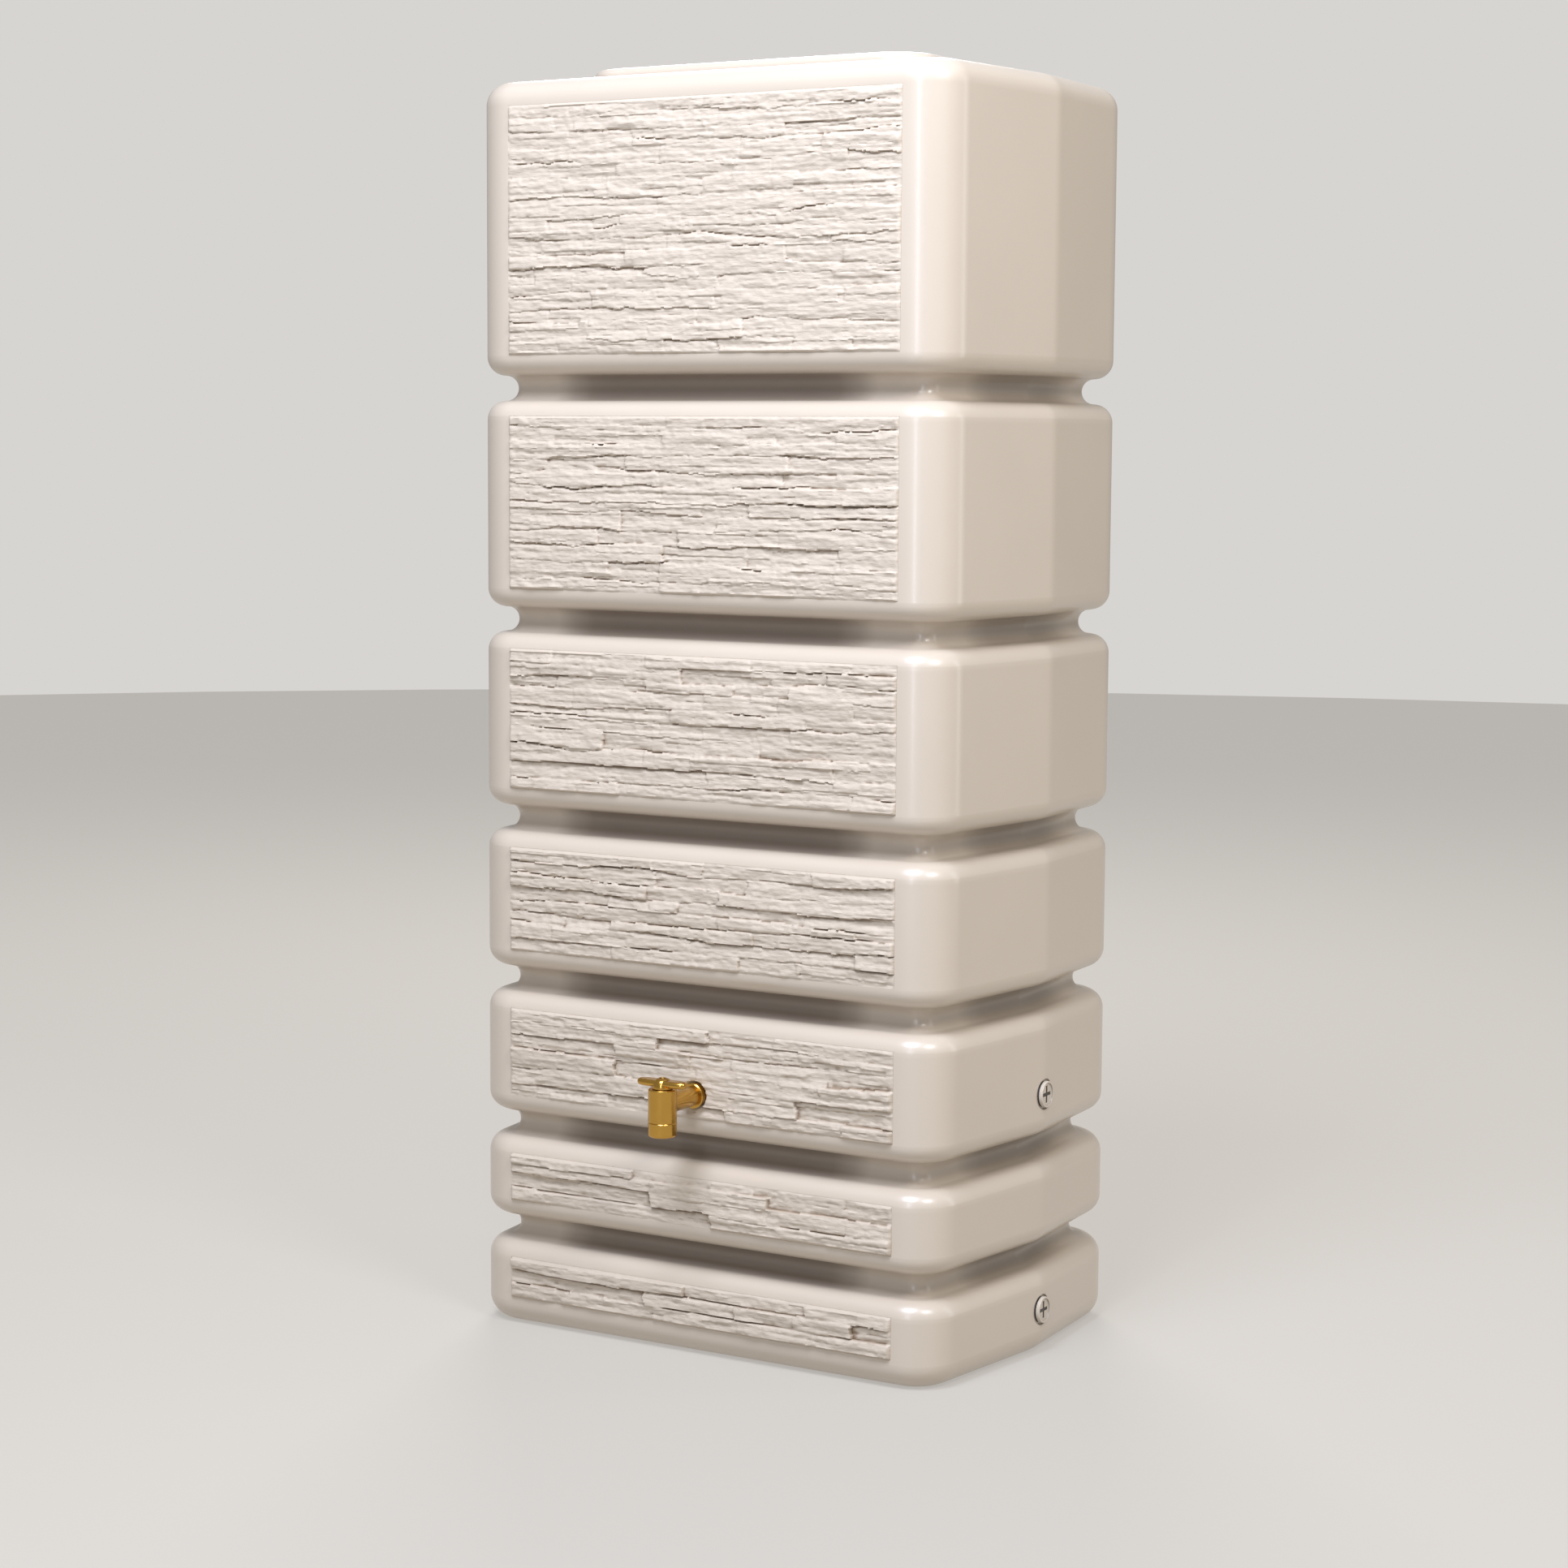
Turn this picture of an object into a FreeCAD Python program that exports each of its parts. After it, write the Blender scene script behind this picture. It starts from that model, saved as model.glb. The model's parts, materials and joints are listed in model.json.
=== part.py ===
"""Column rainwater tank with a moulded ledge-stone front, a lift-off lid, a bib tap and two side plugs.

The frame's origin is the middle of the foot, +Z is up and the stone front faces -Y.
"""

import FreeCAD
import Part
import Sketcher
import math
import os
import random
from FreeCAD import Placement, Rotation, Vector

# Driving sizes in millimetres: the name, the value and what it measures.
SIZES = (
    ("front_half", 283.0, "half the front, out to the corner before it is rounded"),
    ("ridge_half", 310.5, "half the width over the ridges of the sides"),
    ("ridge_back", 202.0, "how far the side ridges stand behind the front"),
    ("back_half", 298.0, "half the back, out to the corner before it is rounded"),
    ("depth", 410.0, "front to back"),
    ("front_corner", 50.0, "rounding of the front corners"),
    ("ridge_round", 60.0, "rounding along the side ridges"),
    ("back_corner", 65.0, "rounding of the back corners"),
    ("wall", 4.5, "thickness of the moulded wall"),
    ("band_1", 309.0, "height of the top band"),
    ("band_2", 221.0, "height of the second band"),
    ("band_3", 188.0, "height of the third band"),
    ("band_4", 149.5, "height of the fourth band"),
    ("band_5", 133.0, "height of the fifth band, which carries the tap"),
    ("band_6", 89.0, "height of the sixth band"),
    ("band_7", 92.0, "height of the foot band"),
    ("band_roll", 20.0, "rounding of the bands' edges beside a groove"),
    ("groove_root", 13.5, "radius of the full round at the bottom of a groove"),
    ("top_roll", 24.0, "rounding of the shoulder under the lid"),
    ("foot_roll", 26.0, "rounding of the edge at the foot"),
    ("panel_half", 237.5, "half the width of a stone panel"),
    ("panel_top_inset", 16.0, "plain wall between a band's upper edge and its panel"),
    ("panel_foot_inset", 20.5, "plain wall between a band's lower edge and its panel"),
    ("crown_inset", 27.0, "plain wall over the top band's panel, under the shoulder"),
    ("base_inset", 31.0, "plain wall under the foot band's panel"),
    ("panel_recess", 2.0, "how deep a panel's ground lies behind the front"),
    ("stone_joint", 1.2, "open joint between two courses of stones"),
    ("stone_low", 0.4, "how far the flattest stones stand out of the ground"),
    ("stone_high", 6.5, "how far the boldest stones stand out of the ground"),
    ("course_height", 15.0, "usual height of a course of stones"),
    ("stone_length", 105.0, "usual length of a stone"),
    ("lid_half", 205.0, "half the lid's width"),
    ("lid_margin", 85.0, "how far the lid stands behind the front and the back"),
    ("lid_height", 16.5, "height of the lid over the top of the tank"),
    ("lid_corner", 46.0, "rounding of the lid's corners in plan"),
    ("lid_roll", 7.0, "rounding of the lid's upper edge"),
    ("lid_wall", 3.5, "thickness of the lid"),
    ("lid_play", 1.5, "play between the lid's skirt and the collar of the mouth"),
    ("collar_rise", 9.0, "height of the collar round the mouth"),
    ("collar_wall", 4.5, "thickness of that collar"),
    ("tap_over_band", 46.5, "height of the tap's inlet over the lower edge of the fifth band"),
    ("spout_reach", 63.0, "how far the spout's axis stands in front of the tank"),
    ("inlet_radius", 10.5, "radius of the tap's inlet pipe and its thread"),
    ("inlet_bore", 6.5, "radius of the way through the inlet"),
    ("inlet_tail", 24.0, "length of the thread inside the tank"),
    ("tap_collar_radius", 13.5, "radius of the collar that bears on the tank"),
    ("tap_collar_length", 7.0, "length of that collar"),
    ("seal_thickness", 2.0, "thickness of the rubber seals at the tank's wall"),
    ("nut_flats", 30.0, "the back nut's size across its flats"),
    ("nut_thickness", 8.0, "thickness of the back nut"),
    ("barrel_radius", 15.0, "radius of the tap's upright barrel"),
    ("barrel_drop", 17.0, "how far the barrel goes down from the inlet's axis"),
    ("barrel_rise", 11.5, "how far the barrel goes up from the inlet's axis"),
    ("spigot_radius", 11.8, "radius of the threaded spigot under the barrel"),
    ("spigot_length", 9.0, "length of that spigot"),
    ("outflow_radius", 7.0, "radius of the way down through the spigot"),
    ("nozzle_length", 15.5, "length of the outlet nozzle"),
    ("nozzle_floor", 5.0, "thickness of the nozzle's foot"),
    ("nozzle_bore", 8.0, "radius of the outlet"),
    ("washer_thickness", 1.4, "thickness of the washer in the nozzle"),
    ("chamber_radius", 9.8, "radius of the chamber that the valve plug turns in"),
    ("plug_drop", 11.5, "depth of the chamber under the inlet's axis"),
    ("plug_wall", 3.0, "wall of the hollow valve plug"),
    ("port_radius", 5.0, "radius of the valve plug's side port"),
    ("ring_section", 0.9, "radius of an O-ring's section"),
    ("ring_offset", 6.9, "how far the O-rings lie above and below the inlet's axis"),
    ("stem_radius", 4.0, "radius of the valve plug's stem"),
    ("stem_square", 5.6, "side of the square on top of the stem"),
    ("square_height", 4.6, "height of that square"),
    ("gland_height", 6.0, "height of the gland nut over the barrel"),
    ("gland_skirt", 3.2, "depth of the gland nut's thread in the barrel"),
    ("gland_radius", 12.6, "radius of the gland nut's thread"),
    ("hub_radius", 10.8, "radius of the handle's hub"),
    ("hub_height", 9.5, "height of the handle's domed hub"),
    ("hub_dome", 6.5, "rounding of the dome on the hub"),
    ("wing_reach", 29.5, "how far a wing of the handle reaches from its axis"),
    ("wing_height", 11.0, "height of the handle's wings at the hub"),
    ("wing_tip", 8.0, "height of the wings at their tips"),
    ("wing_drop", 2.2, "how far the wings' undersides rise towards the tips"),
    ("wing_thickness", 6.0, "thickness of the wings"),
    ("wing_round", 2.6, "rounding of the wings' tips"),
    ("screw_radius", 1.5, "radius of the handle screw"),
    ("screw_head", 3.0, "radius of its head"),
    ("screw_head_height", 1.8, "height of its head"),
    ("screw_sink", 2.6, "how deep the head is sunk in the top of the handle"),
    ("screw_reach", 3.5, "how far the screw goes into the stem"),
    ("drain_height", 48.6, "height of the lower side plug over the floor"),
    ("side_seat_depth", 3.0, "how deep the plugs' flat seats are cut into the ridge"),
    ("side_seat_radius", 16.5, "radius of those seats"),
    ("side_boss_radius", 18.0, "radius of the boss behind each seat"),
    ("side_boss_length", 13.0, "length of that boss"),
    ("bush_radius", 13.0, "radius of the threaded bush moulded into a boss"),
    ("bush_flange", 16.0, "radius of the bush's inner flange"),
    ("bush_flange_thickness", 2.0, "thickness of that flange"),
    ("plug_thread", 10.0, "radius of a side plug's thread"),
    ("plug_thread_length", 12.0, "length of that thread"),
    ("plug_head", 14.0, "radius of a side plug's head"),
    ("plug_head_height", 4.0, "height of that head"),
    ("plug_rim", 1.8, "width of the raised rim round the head"),
    ("plug_dish", 0.8, "how deep the head is dished inside its rim"),
    ("slot_length", 14.0, "length of the cross slots in the head"),
    ("slot_width", 3.0, "width of the cross slots"),
    ("slot_depth", 2.4, "depth of the cross slots"),
    ("running_gap", 0.3, "play between pieces that move past each other"),
    ("fixed_gap", 0.05, "play between pieces that are screwed or pressed together"),
)
BANDS = 7
STONE_SEED = 41
BITE = 1.0

doc = FreeCAD.newDocument("RainwaterTank")
sheet = doc.addObject("Spreadsheet::Sheet", "Sizes")
for row, (alias, value, note) in enumerate(SIZES, start=1):
    sheet.set(f"A{row}", alias)
    sheet.set(f"B{row}", str(value))
    sheet.set(f"C{row}", note)
    sheet.setAlias(f"B{row}", alias)
doc.recompute()


def size(alias):
    """The value of one driving size."""
    return float(getattr(sheet, alias))


def bind(item, **formulas):
    """Ties properties of an object to formulas in the names of the driving sizes."""
    for name, formula in formulas.items():
        item.setExpression(name.replace("__", "."), in_sheet(formula))


def in_sheet(formula):
    """A formula whose size names are written as the sheet's cells."""
    words = []
    word = ""
    for letter in formula + " ":
        if letter.isalnum() or letter == "_":
            word += letter
            continue
        words.append(f"Sizes.{word}" if word in NAMES else word)
        words.append(letter)
        word = ""
    return "".join(words).strip()


def value_of(formula):
    """What a formula in the names of the driving sizes comes to."""
    return float(sheet.evalExpression(in_sheet(formula)))


NAMES = {alias for alias, _, _ in SIZES}
UPRIGHT = Rotation()
OUT_FRONT = Rotation(Vector(1, 0, 0), 90)
OUT_RIGHT = Rotation(Vector(0, 1, 0), 90)


def place(item, x="0", y="0", z="0", turn=UPRIGHT):
    """Puts an object at a formula-bound point, turned so that its own +Z points the way the piece does."""
    item.Placement = Placement(Vector(value_of(x), value_of(y), value_of(z)), turn)
    bind(item, Placement__Base__x=x, Placement__Base__y=y, Placement__Base__z=z)
    return item


def origin_plane(body, role):
    """One of a body's own origin planes."""
    return next(item for item in body.Origin.OriginFeatures if item.Role == role)


def outline_sketch(body, name, role, corners):
    """A closed sketch with straight sides through corners given as pairs of bound formulas."""
    sketch = body.newObject("Sketcher::SketchObject", name)
    sketch.AttachmentSupport = (origin_plane(body, role), [""])
    sketch.MapMode = "FlatFace"
    points = [Vector(value_of(across), value_of(up), 0) for across, up in corners]
    count = len(points)
    for i in range(count):
        sketch.addGeometry(Part.LineSegment(points[i], points[(i + 1) % count]), False)
    for i in range(count):
        sketch.addConstraint(Sketcher.Constraint("Coincident", i, 2, (i + 1) % count, 1))
    for i, (across, up) in enumerate(corners):
        for kind, formula, axis in (("DistanceX", across, -2), ("DistanceY", up, -1)):
            distance = value_of(formula)
            if distance == 0.0:
                sketch.addConstraint(Sketcher.Constraint("PointOnObject", i, 1, axis))
                continue
            index = sketch.addConstraint(Sketcher.Constraint(kind, -1, 1, i, 1, distance))
            sketch.setExpression(f"Constraints[{index}]", in_sheet(formula))
    return sketch


def turned(label, corners, **where):
    """A turned piece: an outline of (radius, height) corners revolved about the piece's own axis."""
    body = doc.addObject("PartDesign::Body", label)
    sketch = outline_sketch(body, label + "_outline", "XZ_Plane", corners)
    spin = body.newObject("PartDesign::Revolution", label + "_turned")
    spin.Profile = sketch
    spin.ReferenceAxis = (sketch, ["V_Axis"])
    spin.Angle = 360
    sketch.Visibility = False
    return place(body, **where)


def pocket_out(body, name, role, corners, depth, reverse=False):
    """Cuts a straight-sided recess from one of a body's origin planes."""
    sketch = outline_sketch(body, name + "_outline", role, corners)
    cut = body.newObject("PartDesign::Pocket", name)
    cut.Profile = sketch
    bind(cut, Length=depth)
    cut.Reversed = reverse
    return cut


def washer(label, inner, outer, thickness, **where):
    """A flat ring."""
    corners = ((inner, "0"), (outer, "0"), (outer, thickness), (inner, thickness))
    return turned(label, corners, **where)


def cylinder(label, radius, height, **where):
    """A round bar or the tool for a round hole."""
    bar = doc.addObject("Part::Cylinder", label)
    bind(bar, Radius=radius, Height=height)
    return place(bar, **where)


def joined(label, shapes):
    """Several shapes made one, with the seams between their flush faces taken away."""
    union = doc.addObject("Part::MultiFuse", label)
    union.Shapes = shapes
    union.Refine = True
    return union


def cut_away(label, base, tool):
    """One shape with another taken out of it."""
    cut = doc.addObject("Part::Cut", label)
    cut.Base = base
    cut.Tool = tool
    cut.Refine = True
    return cut


# The plan: a front, two facets on each side that meet at a ridge, and a back, all corners rounded.


def rounded_corner(before, corner, after, radius):
    """The arc that rounds a corner between two straight sides."""
    back = (before - corner).normalize()
    ahead = (after - corner).normalize()
    half = math.acos(back.dot(ahead)) / 2
    setback = radius / math.tan(half)
    middle = (back + ahead).normalize() * (radius / math.sin(half) - radius)
    return Part.Arc(corner + back * setback, corner + middle, corner + ahead * setback).toShape()


def plan_outline():
    """The outside of the tank seen from above, as a closed wire that starts along the front."""
    front = -size("depth") / 2
    ridge = front + size("ridge_back")
    right = (
        Vector(size("front_half"), front, 0),
        Vector(size("ridge_half"), ridge, 0),
        Vector(size("back_half"), -front, 0),
    )
    left = [Vector(-corner.x, corner.y, 0) for corner in reversed(right)]
    corners = [*right, *left]
    one_side = [size("front_corner"), size("ridge_round"), size("back_corner")]
    radii = one_side + one_side[::-1]
    arcs = []
    for i, radius in enumerate(radii):
        after = corners[(i + 1) % len(corners)]
        arcs.append(rounded_corner(corners[i - 1], corners[i], after, radius))
    edges = []
    for i, arc in enumerate(arcs):
        edges.append(Part.LineSegment(arcs[i - 1].lastVertex().Point, arc.firstVertex().Point).toShape())
        edges.append(arc)
    return Part.Wire(edges)


def band_levels():
    """The lower and upper level of each band, from the foot band up."""
    levels = []
    level = 0.0
    for band in range(BANDS, 0, -1):
        height = size(f"band_{band}")
        levels.append((level, level + height))
        level += height + 2 * size("groove_root")
    return levels


def arc_point(centre, radius, degrees):
    """A point of the section at an angle about a centre, counted from the inside of the tank upwards."""
    angle = math.radians(degrees)
    return centre + Vector(0, radius * math.cos(angle), radius * math.sin(angle))


def quarter(centre, radius, start):
    """A quarter of a circle about a point of the section, from a starting angle in degrees."""
    return Part.Arc(*[arc_point(centre, radius, start + step) for step in (0, 45, 90)]).toShape()


def roll_centres(i, low, high):
    """The centres of a band's lower and upper rolls, each as far behind the front as its radius."""
    lower = size("band_roll") if i else size("foot_roll")
    upper = size("band_roll") if i < BANDS - 1 else size("top_roll")
    return Vector(0, lower, low + lower), Vector(0, upper, high - upper)


def plate_reach():
    """How far inside the front the swept wall ends and the floor and the roof begin."""
    return max(size("foot_roll"), size("top_roll")) + size("groove_root")


def outer_contour():
    """The outer face of the wall's section, from floor to top: bands with rolled edges, round grooves.

    Depth runs along +Y from the front.
    """
    edges = []
    for i, (low, high) in enumerate(band_levels()):
        below, above = roll_centres(i, low, high)
        wall = Part.LineSegment(Vector(0, 0, below.z), Vector(0, 0, above.z)).toShape()
        edges += [quarter(below, below.y, 180), wall, quarter(above, above.y, 90)]
        if i < BANDS - 1:
            centre = Vector(0, above.y, high + size("groove_root"))
            root = [arc_point(centre, size("groove_root"), degrees) for degrees in (-90, 0, 90)]
            edges.append(Part.Arc(*root).toShape())
    return edges


def inner_contour():
    """The inner face of the section, one wall behind the outer one, with flats in place of the rounds."""
    points = []
    wall = size("wall")
    for i, (low, high) in enumerate(band_levels()):
        below, above = roll_centres(i, low, high)
        points += [arc_point(below, below.y - wall, degrees) for degrees in (270, 225, 180)]
        points += [arc_point(above, above.y - wall, degrees) for degrees in (180, 135, 90)]
        if i < BANDS - 1:
            centre = Vector(0, above.y, high + size("groove_root"))
            points += [arc_point(centre, size("groove_root") + wall, degrees) for degrees in (-45, 0, 45)]
    return [Part.LineSegment(*pair).toShape() for pair in zip(points, points[1:])]


def wall_section():
    """The closed section of the tank's wall, which runs on under the floor and over the top."""
    top = band_levels()[-1][1]
    wall = size("wall")
    ends = []
    for roll, low, high in ((size("foot_roll"), 0.0, wall), (size("top_roll"), top, top - wall)):
        corners = [Vector(0, roll, low), Vector(0, plate_reach(), low),
                   Vector(0, plate_reach(), high), Vector(0, roll, high)]
        ends += [Part.LineSegment(*pair).toShape() for pair in zip(corners, corners[1:])]
    return Part.Wire(Part.sortEdges(outer_contour() + inner_contour() + ends)[0])


def plate(label, wire, low, height):
    """A flat plate with a given outline."""
    face = Part.Face(wire)
    face.translate(Vector(0, 0, low))
    item = doc.addObject("Part::Feature", label)
    item.Shape = face.extrude(Vector(0, 0, height))
    return item


def shifted_to(wire, point):
    """A copy of a wire moved by a vector."""
    moved = wire.copy()
    moved.translate(point)
    return moved


def swept_shell():
    """The wall's section carried once round the plan outline."""
    path = doc.addObject("Part::Feature", "plan_outline")
    path.Shape = plan_outline()
    start = path.Shape.OrderedVertexes[0].Point
    section = doc.addObject("Part::Feature", "wall_section")
    section.Shape = shifted_to(wall_section(), start)
    shell = doc.addObject("Part::Sweep", "banded_wall")
    shell.Sections = [section]
    shell.Spine = (path, [f"Edge{i + 1}" for i in range(len(path.Shape.Edges))])
    shell.Solid = True
    shell.Frenet = False
    doc.recompute()
    return path, shell


def lid_outline(inset):
    """The lid's plan, a rounded rectangle, drawn in by an inset."""
    half_width = size("lid_half") - inset
    half_depth = size("depth") / 2 - size("lid_margin") - inset
    radius = size("lid_corner") - inset
    corners = [
        Vector(-half_width, -half_depth, 0),
        Vector(half_width, -half_depth, 0),
        Vector(half_width, half_depth, 0),
        Vector(-half_width, half_depth, 0),
    ]
    arcs = []
    for i, corner in enumerate(corners):
        arcs.append(rounded_corner(corners[i - 1], corner, corners[(i + 1) % 4], radius))
    edges = []
    for i, arc in enumerate(arcs):
        edges.append(Part.LineSegment(arcs[i - 1].lastVertex().Point, arc.firstVertex().Point).toShape())
        edges.append(arc)
    return Part.Wire(edges)


# The stone panels: each band's front has a sunk ground with courses of stones standing on it.


def panels():
    """The lower and upper level of each band's stone panel, from the foot band up."""
    spans = []
    for i, (low, high) in enumerate(band_levels()):
        foot_inset = size("base_inset") if i == 0 else size("panel_foot_inset")
        top_inset = size("crown_inset") if i == BANDS - 1 else size("panel_top_inset")
        spans.append((low + foot_inset, high - top_inset))
    return spans


def course_levels(chance, low, high):
    """The levels between the courses that fill a panel, uneven like courses of split stone."""
    count = max(2, round((high - low) / size("course_height")))
    shares = [chance.uniform(0.72, 1.28) for _ in range(count)]
    step = (high - low) / sum(shares)
    levels = [low]
    for share in shares:
        levels.append(levels[-1] + share * step)
    return levels


def stone_breaks(chance):
    """Where one stone ends and the next begins along a course."""
    half = size("panel_half")
    breaks = [-half]
    while True:
        following = breaks[-1] + size("stone_length") * chance.uniform(0.45, 1.9)
        if following > half - size("stone_length") * 0.4:
            return [*breaks, half]
        breaks.append(following)


def stone_course(chance, low, high):
    """A course of stones: its stepped and slanted front seen from above, carried up its height."""
    ground = -size("depth") / 2 + size("panel_recess")
    breaks = stone_breaks(chance)
    front = []
    for start, end in zip(breaks, breaks[1:]):
        stand = chance.uniform(size("stone_low"), size("stone_high"))
        slant = chance.uniform(-0.9, 0.9)
        for across, out in ((start, stand - slant), (end, stand + slant)):
            front.append(Vector(across, ground - max(out, size("stone_low")), low))
    back = [Vector(breaks[-1], ground + BITE, low), Vector(breaks[0], ground + BITE, low)]
    corners = front + back
    return Part.Face(Part.makePolygon([*corners, corners[0]])).extrude(Vector(0, 0, high - low))


def stone_panel(chance, low, high):
    """All the courses of one panel."""
    levels = course_levels(chance, low, high)
    joint = size("stone_joint") / 2
    return [stone_course(chance, lower + joint, upper - joint) for lower, upper in zip(levels, levels[1:])]


def relief():
    """The grounds that are cut into the bands' fronts, and the stones that stand on them."""
    chance = random.Random(STONE_SEED)
    ground = []
    stones = []
    half = size("panel_half")
    front = -size("depth") / 2
    clear = 2 * size("stone_high")
    for low, high in panels():
        corner = Vector(-half, front - clear, low)
        ground.append(Part.makeBox(2 * half, clear + size("panel_recess"), high - low, corner))
        stones += stone_panel(chance, low, high)
    return ground, stones


BAND_HEIGHTS = " + ".join(f"band_{band}" for band in range(1, BANDS + 1))
BAND_STACK = f"{BAND_HEIGHTS} + {2 * (BANDS - 1)} * groove_root"
TAP_LEVEL = "band_7 + band_6 + 4 * groove_root + tap_over_band"
TAP_SEAT = "-depth / 2 + panel_recess"
SPOUT_AXIS = "-depth / 2 - spout_reach"
RIDGE = "-depth / 2 + ridge_back"
SIDE_SEAT = "ridge_half - side_seat_depth"
SIDE_PLUGS = (("upper", TAP_LEVEL), ("lower", "drain_height"))


def side_bosses():
    """The bosses inside the right-hand ridge, and the flat seats and holes cut for the side plugs."""
    bosses = []
    cuts = []
    for where, height in SIDE_PLUGS:
        inner = {"x": SIDE_SEAT + " - side_boss_length", "y": RIDGE, "z": height, "turn": OUT_RIGHT}
        seat = {"x": SIDE_SEAT, "y": RIDGE, "z": height, "turn": OUT_RIGHT}
        bosses.append(cylinder(f"boss_{where}", "side_boss_radius", "side_boss_length", **inner))
        cuts.append(cylinder(f"bush_hole_{where}", "bush_radius + fixed_gap", "side_boss_length", **inner))
        cuts.append(cylinder(f"plug_seat_{where}", "side_seat_radius", "2 * side_seat_depth", **seat))
    return bosses, cuts


def tank_body():
    """The one-piece moulded tank, hollow, with its stone front, mouth, tap hole and plug seats."""
    path, shell = swept_shell()
    top = band_levels()[-1][1]
    wall = size("wall")
    inner = path.Shape.makeOffset2D(-plate_reach())
    floor = plate("floor", inner, 0.0, wall)
    roof = plate("roof", inner, top - wall, wall)
    skirt_inset = size("lid_wall") + size("lid_play")
    collar_height = wall + size("collar_rise")
    collar = plate("mouth_collar", lid_outline(skirt_inset), top - wall, collar_height)
    mouth_outline = lid_outline(skirt_inset + size("collar_wall"))
    mouth = plate("mouth", mouth_outline, top - 2 * wall, 2 * collar_height)
    bosses, side_cuts = side_bosses()
    ground, stones = relief()
    grounds = doc.addObject("Part::Feature", "panel_grounds")
    grounds.Shape = Part.makeCompound(ground)
    courses = doc.addObject("Part::Feature", "stone_courses")
    courses.Shape = Part.makeCompound(stones)
    moulding = joined("plain_moulding", [shell, floor, roof, collar, *bosses])
    hollows = joined("mouth_and_seats", [mouth, *side_cuts])
    opened = cut_away("opened_moulding", moulding, hollows)
    sunk = cut_away("sunk_panels", opened, grounds)
    dressed = joined("stone_front", [sunk, courses])
    seat = cylinder("tap_seat", "tap_collar_radius + 1.5", "2 * stone_high + panel_recess",
                    y=TAP_SEAT, z=TAP_LEVEL, turn=OUT_FRONT)
    hole = cylinder("tap_hole", "inlet_radius + running_gap", "2 * wall",
                    y="-depth / 2 + 1.5 * wall", z=TAP_LEVEL, turn=OUT_FRONT)
    return cut_away("tank_body", dressed, joined("tap_seat_and_hole", [seat, hole]))


def rim_edges(shape, level):
    """The names of the edges that lie at one level of a shape."""
    names = []
    for i, edge in enumerate(shape.Edges, start=1):
        box = edge.BoundBox
        if abs(box.ZMin - level) < 0.01 and abs(box.ZMax - level) < 0.01:
            names.append(f"Edge{i}")
    return names


def upright_edges(shape):
    """The names of the straight edges that stand upright."""
    names = []
    for i, edge in enumerate(shape.Edges, start=1):
        box = edge.BoundBox
        if box.ZLength > 0.01 and box.XLength < 0.01 and box.YLength < 0.01:
            names.append(f"Edge{i}")
    return names


def rounded(body, name, edges, radius):
    """Rounds edges of a body's last feature."""
    fillet = body.newObject("PartDesign::Fillet", name)
    fillet.Base = (body.Group[-2], edges)
    bind(fillet, Radius=radius)
    doc.recompute()
    return fillet


def lid():
    """The lift-off lid: a shallow rounded tray turned upside down, dropped over the mouth's collar."""
    body = doc.addObject("PartDesign::Body", "lid")
    half_depth = "(depth / 2 - lid_margin)"
    signs = (("-", "-"), ("", "-"), ("", ""), ("-", ""))
    corners = [(f"{x}lid_half", f"{y}{half_depth}") for x, y in signs]
    outline = outline_sketch(body, "lid_outline", "XY_Plane", corners)
    pad = body.newObject("PartDesign::Pad", "lid_block")
    pad.Profile = outline
    bind(pad, Length="lid_height")
    doc.recompute()
    rounded(body, "lid_corners", upright_edges(pad.Shape), "lid_corner")
    top = rounded(body, "lid_edge", rim_edges(body.Shape, size("lid_height")), "lid_roll")
    under = next(f"Face{i}" for i, face in enumerate(top.Shape.Faces, start=1)
                 if face.BoundBox.ZMax < 0.01)
    tray = body.newObject("PartDesign::Thickness", "lid_tray")
    tray.Base = (top, [under])
    tray.Reversed = True
    bind(tray, Value="lid_wall")
    return place(body, z=BAND_STACK)


# The tap: an inlet through the wall, an upright barrel with a hollow valve plug, a gland nut, a handle
# with two wings and a nozzle.


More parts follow.
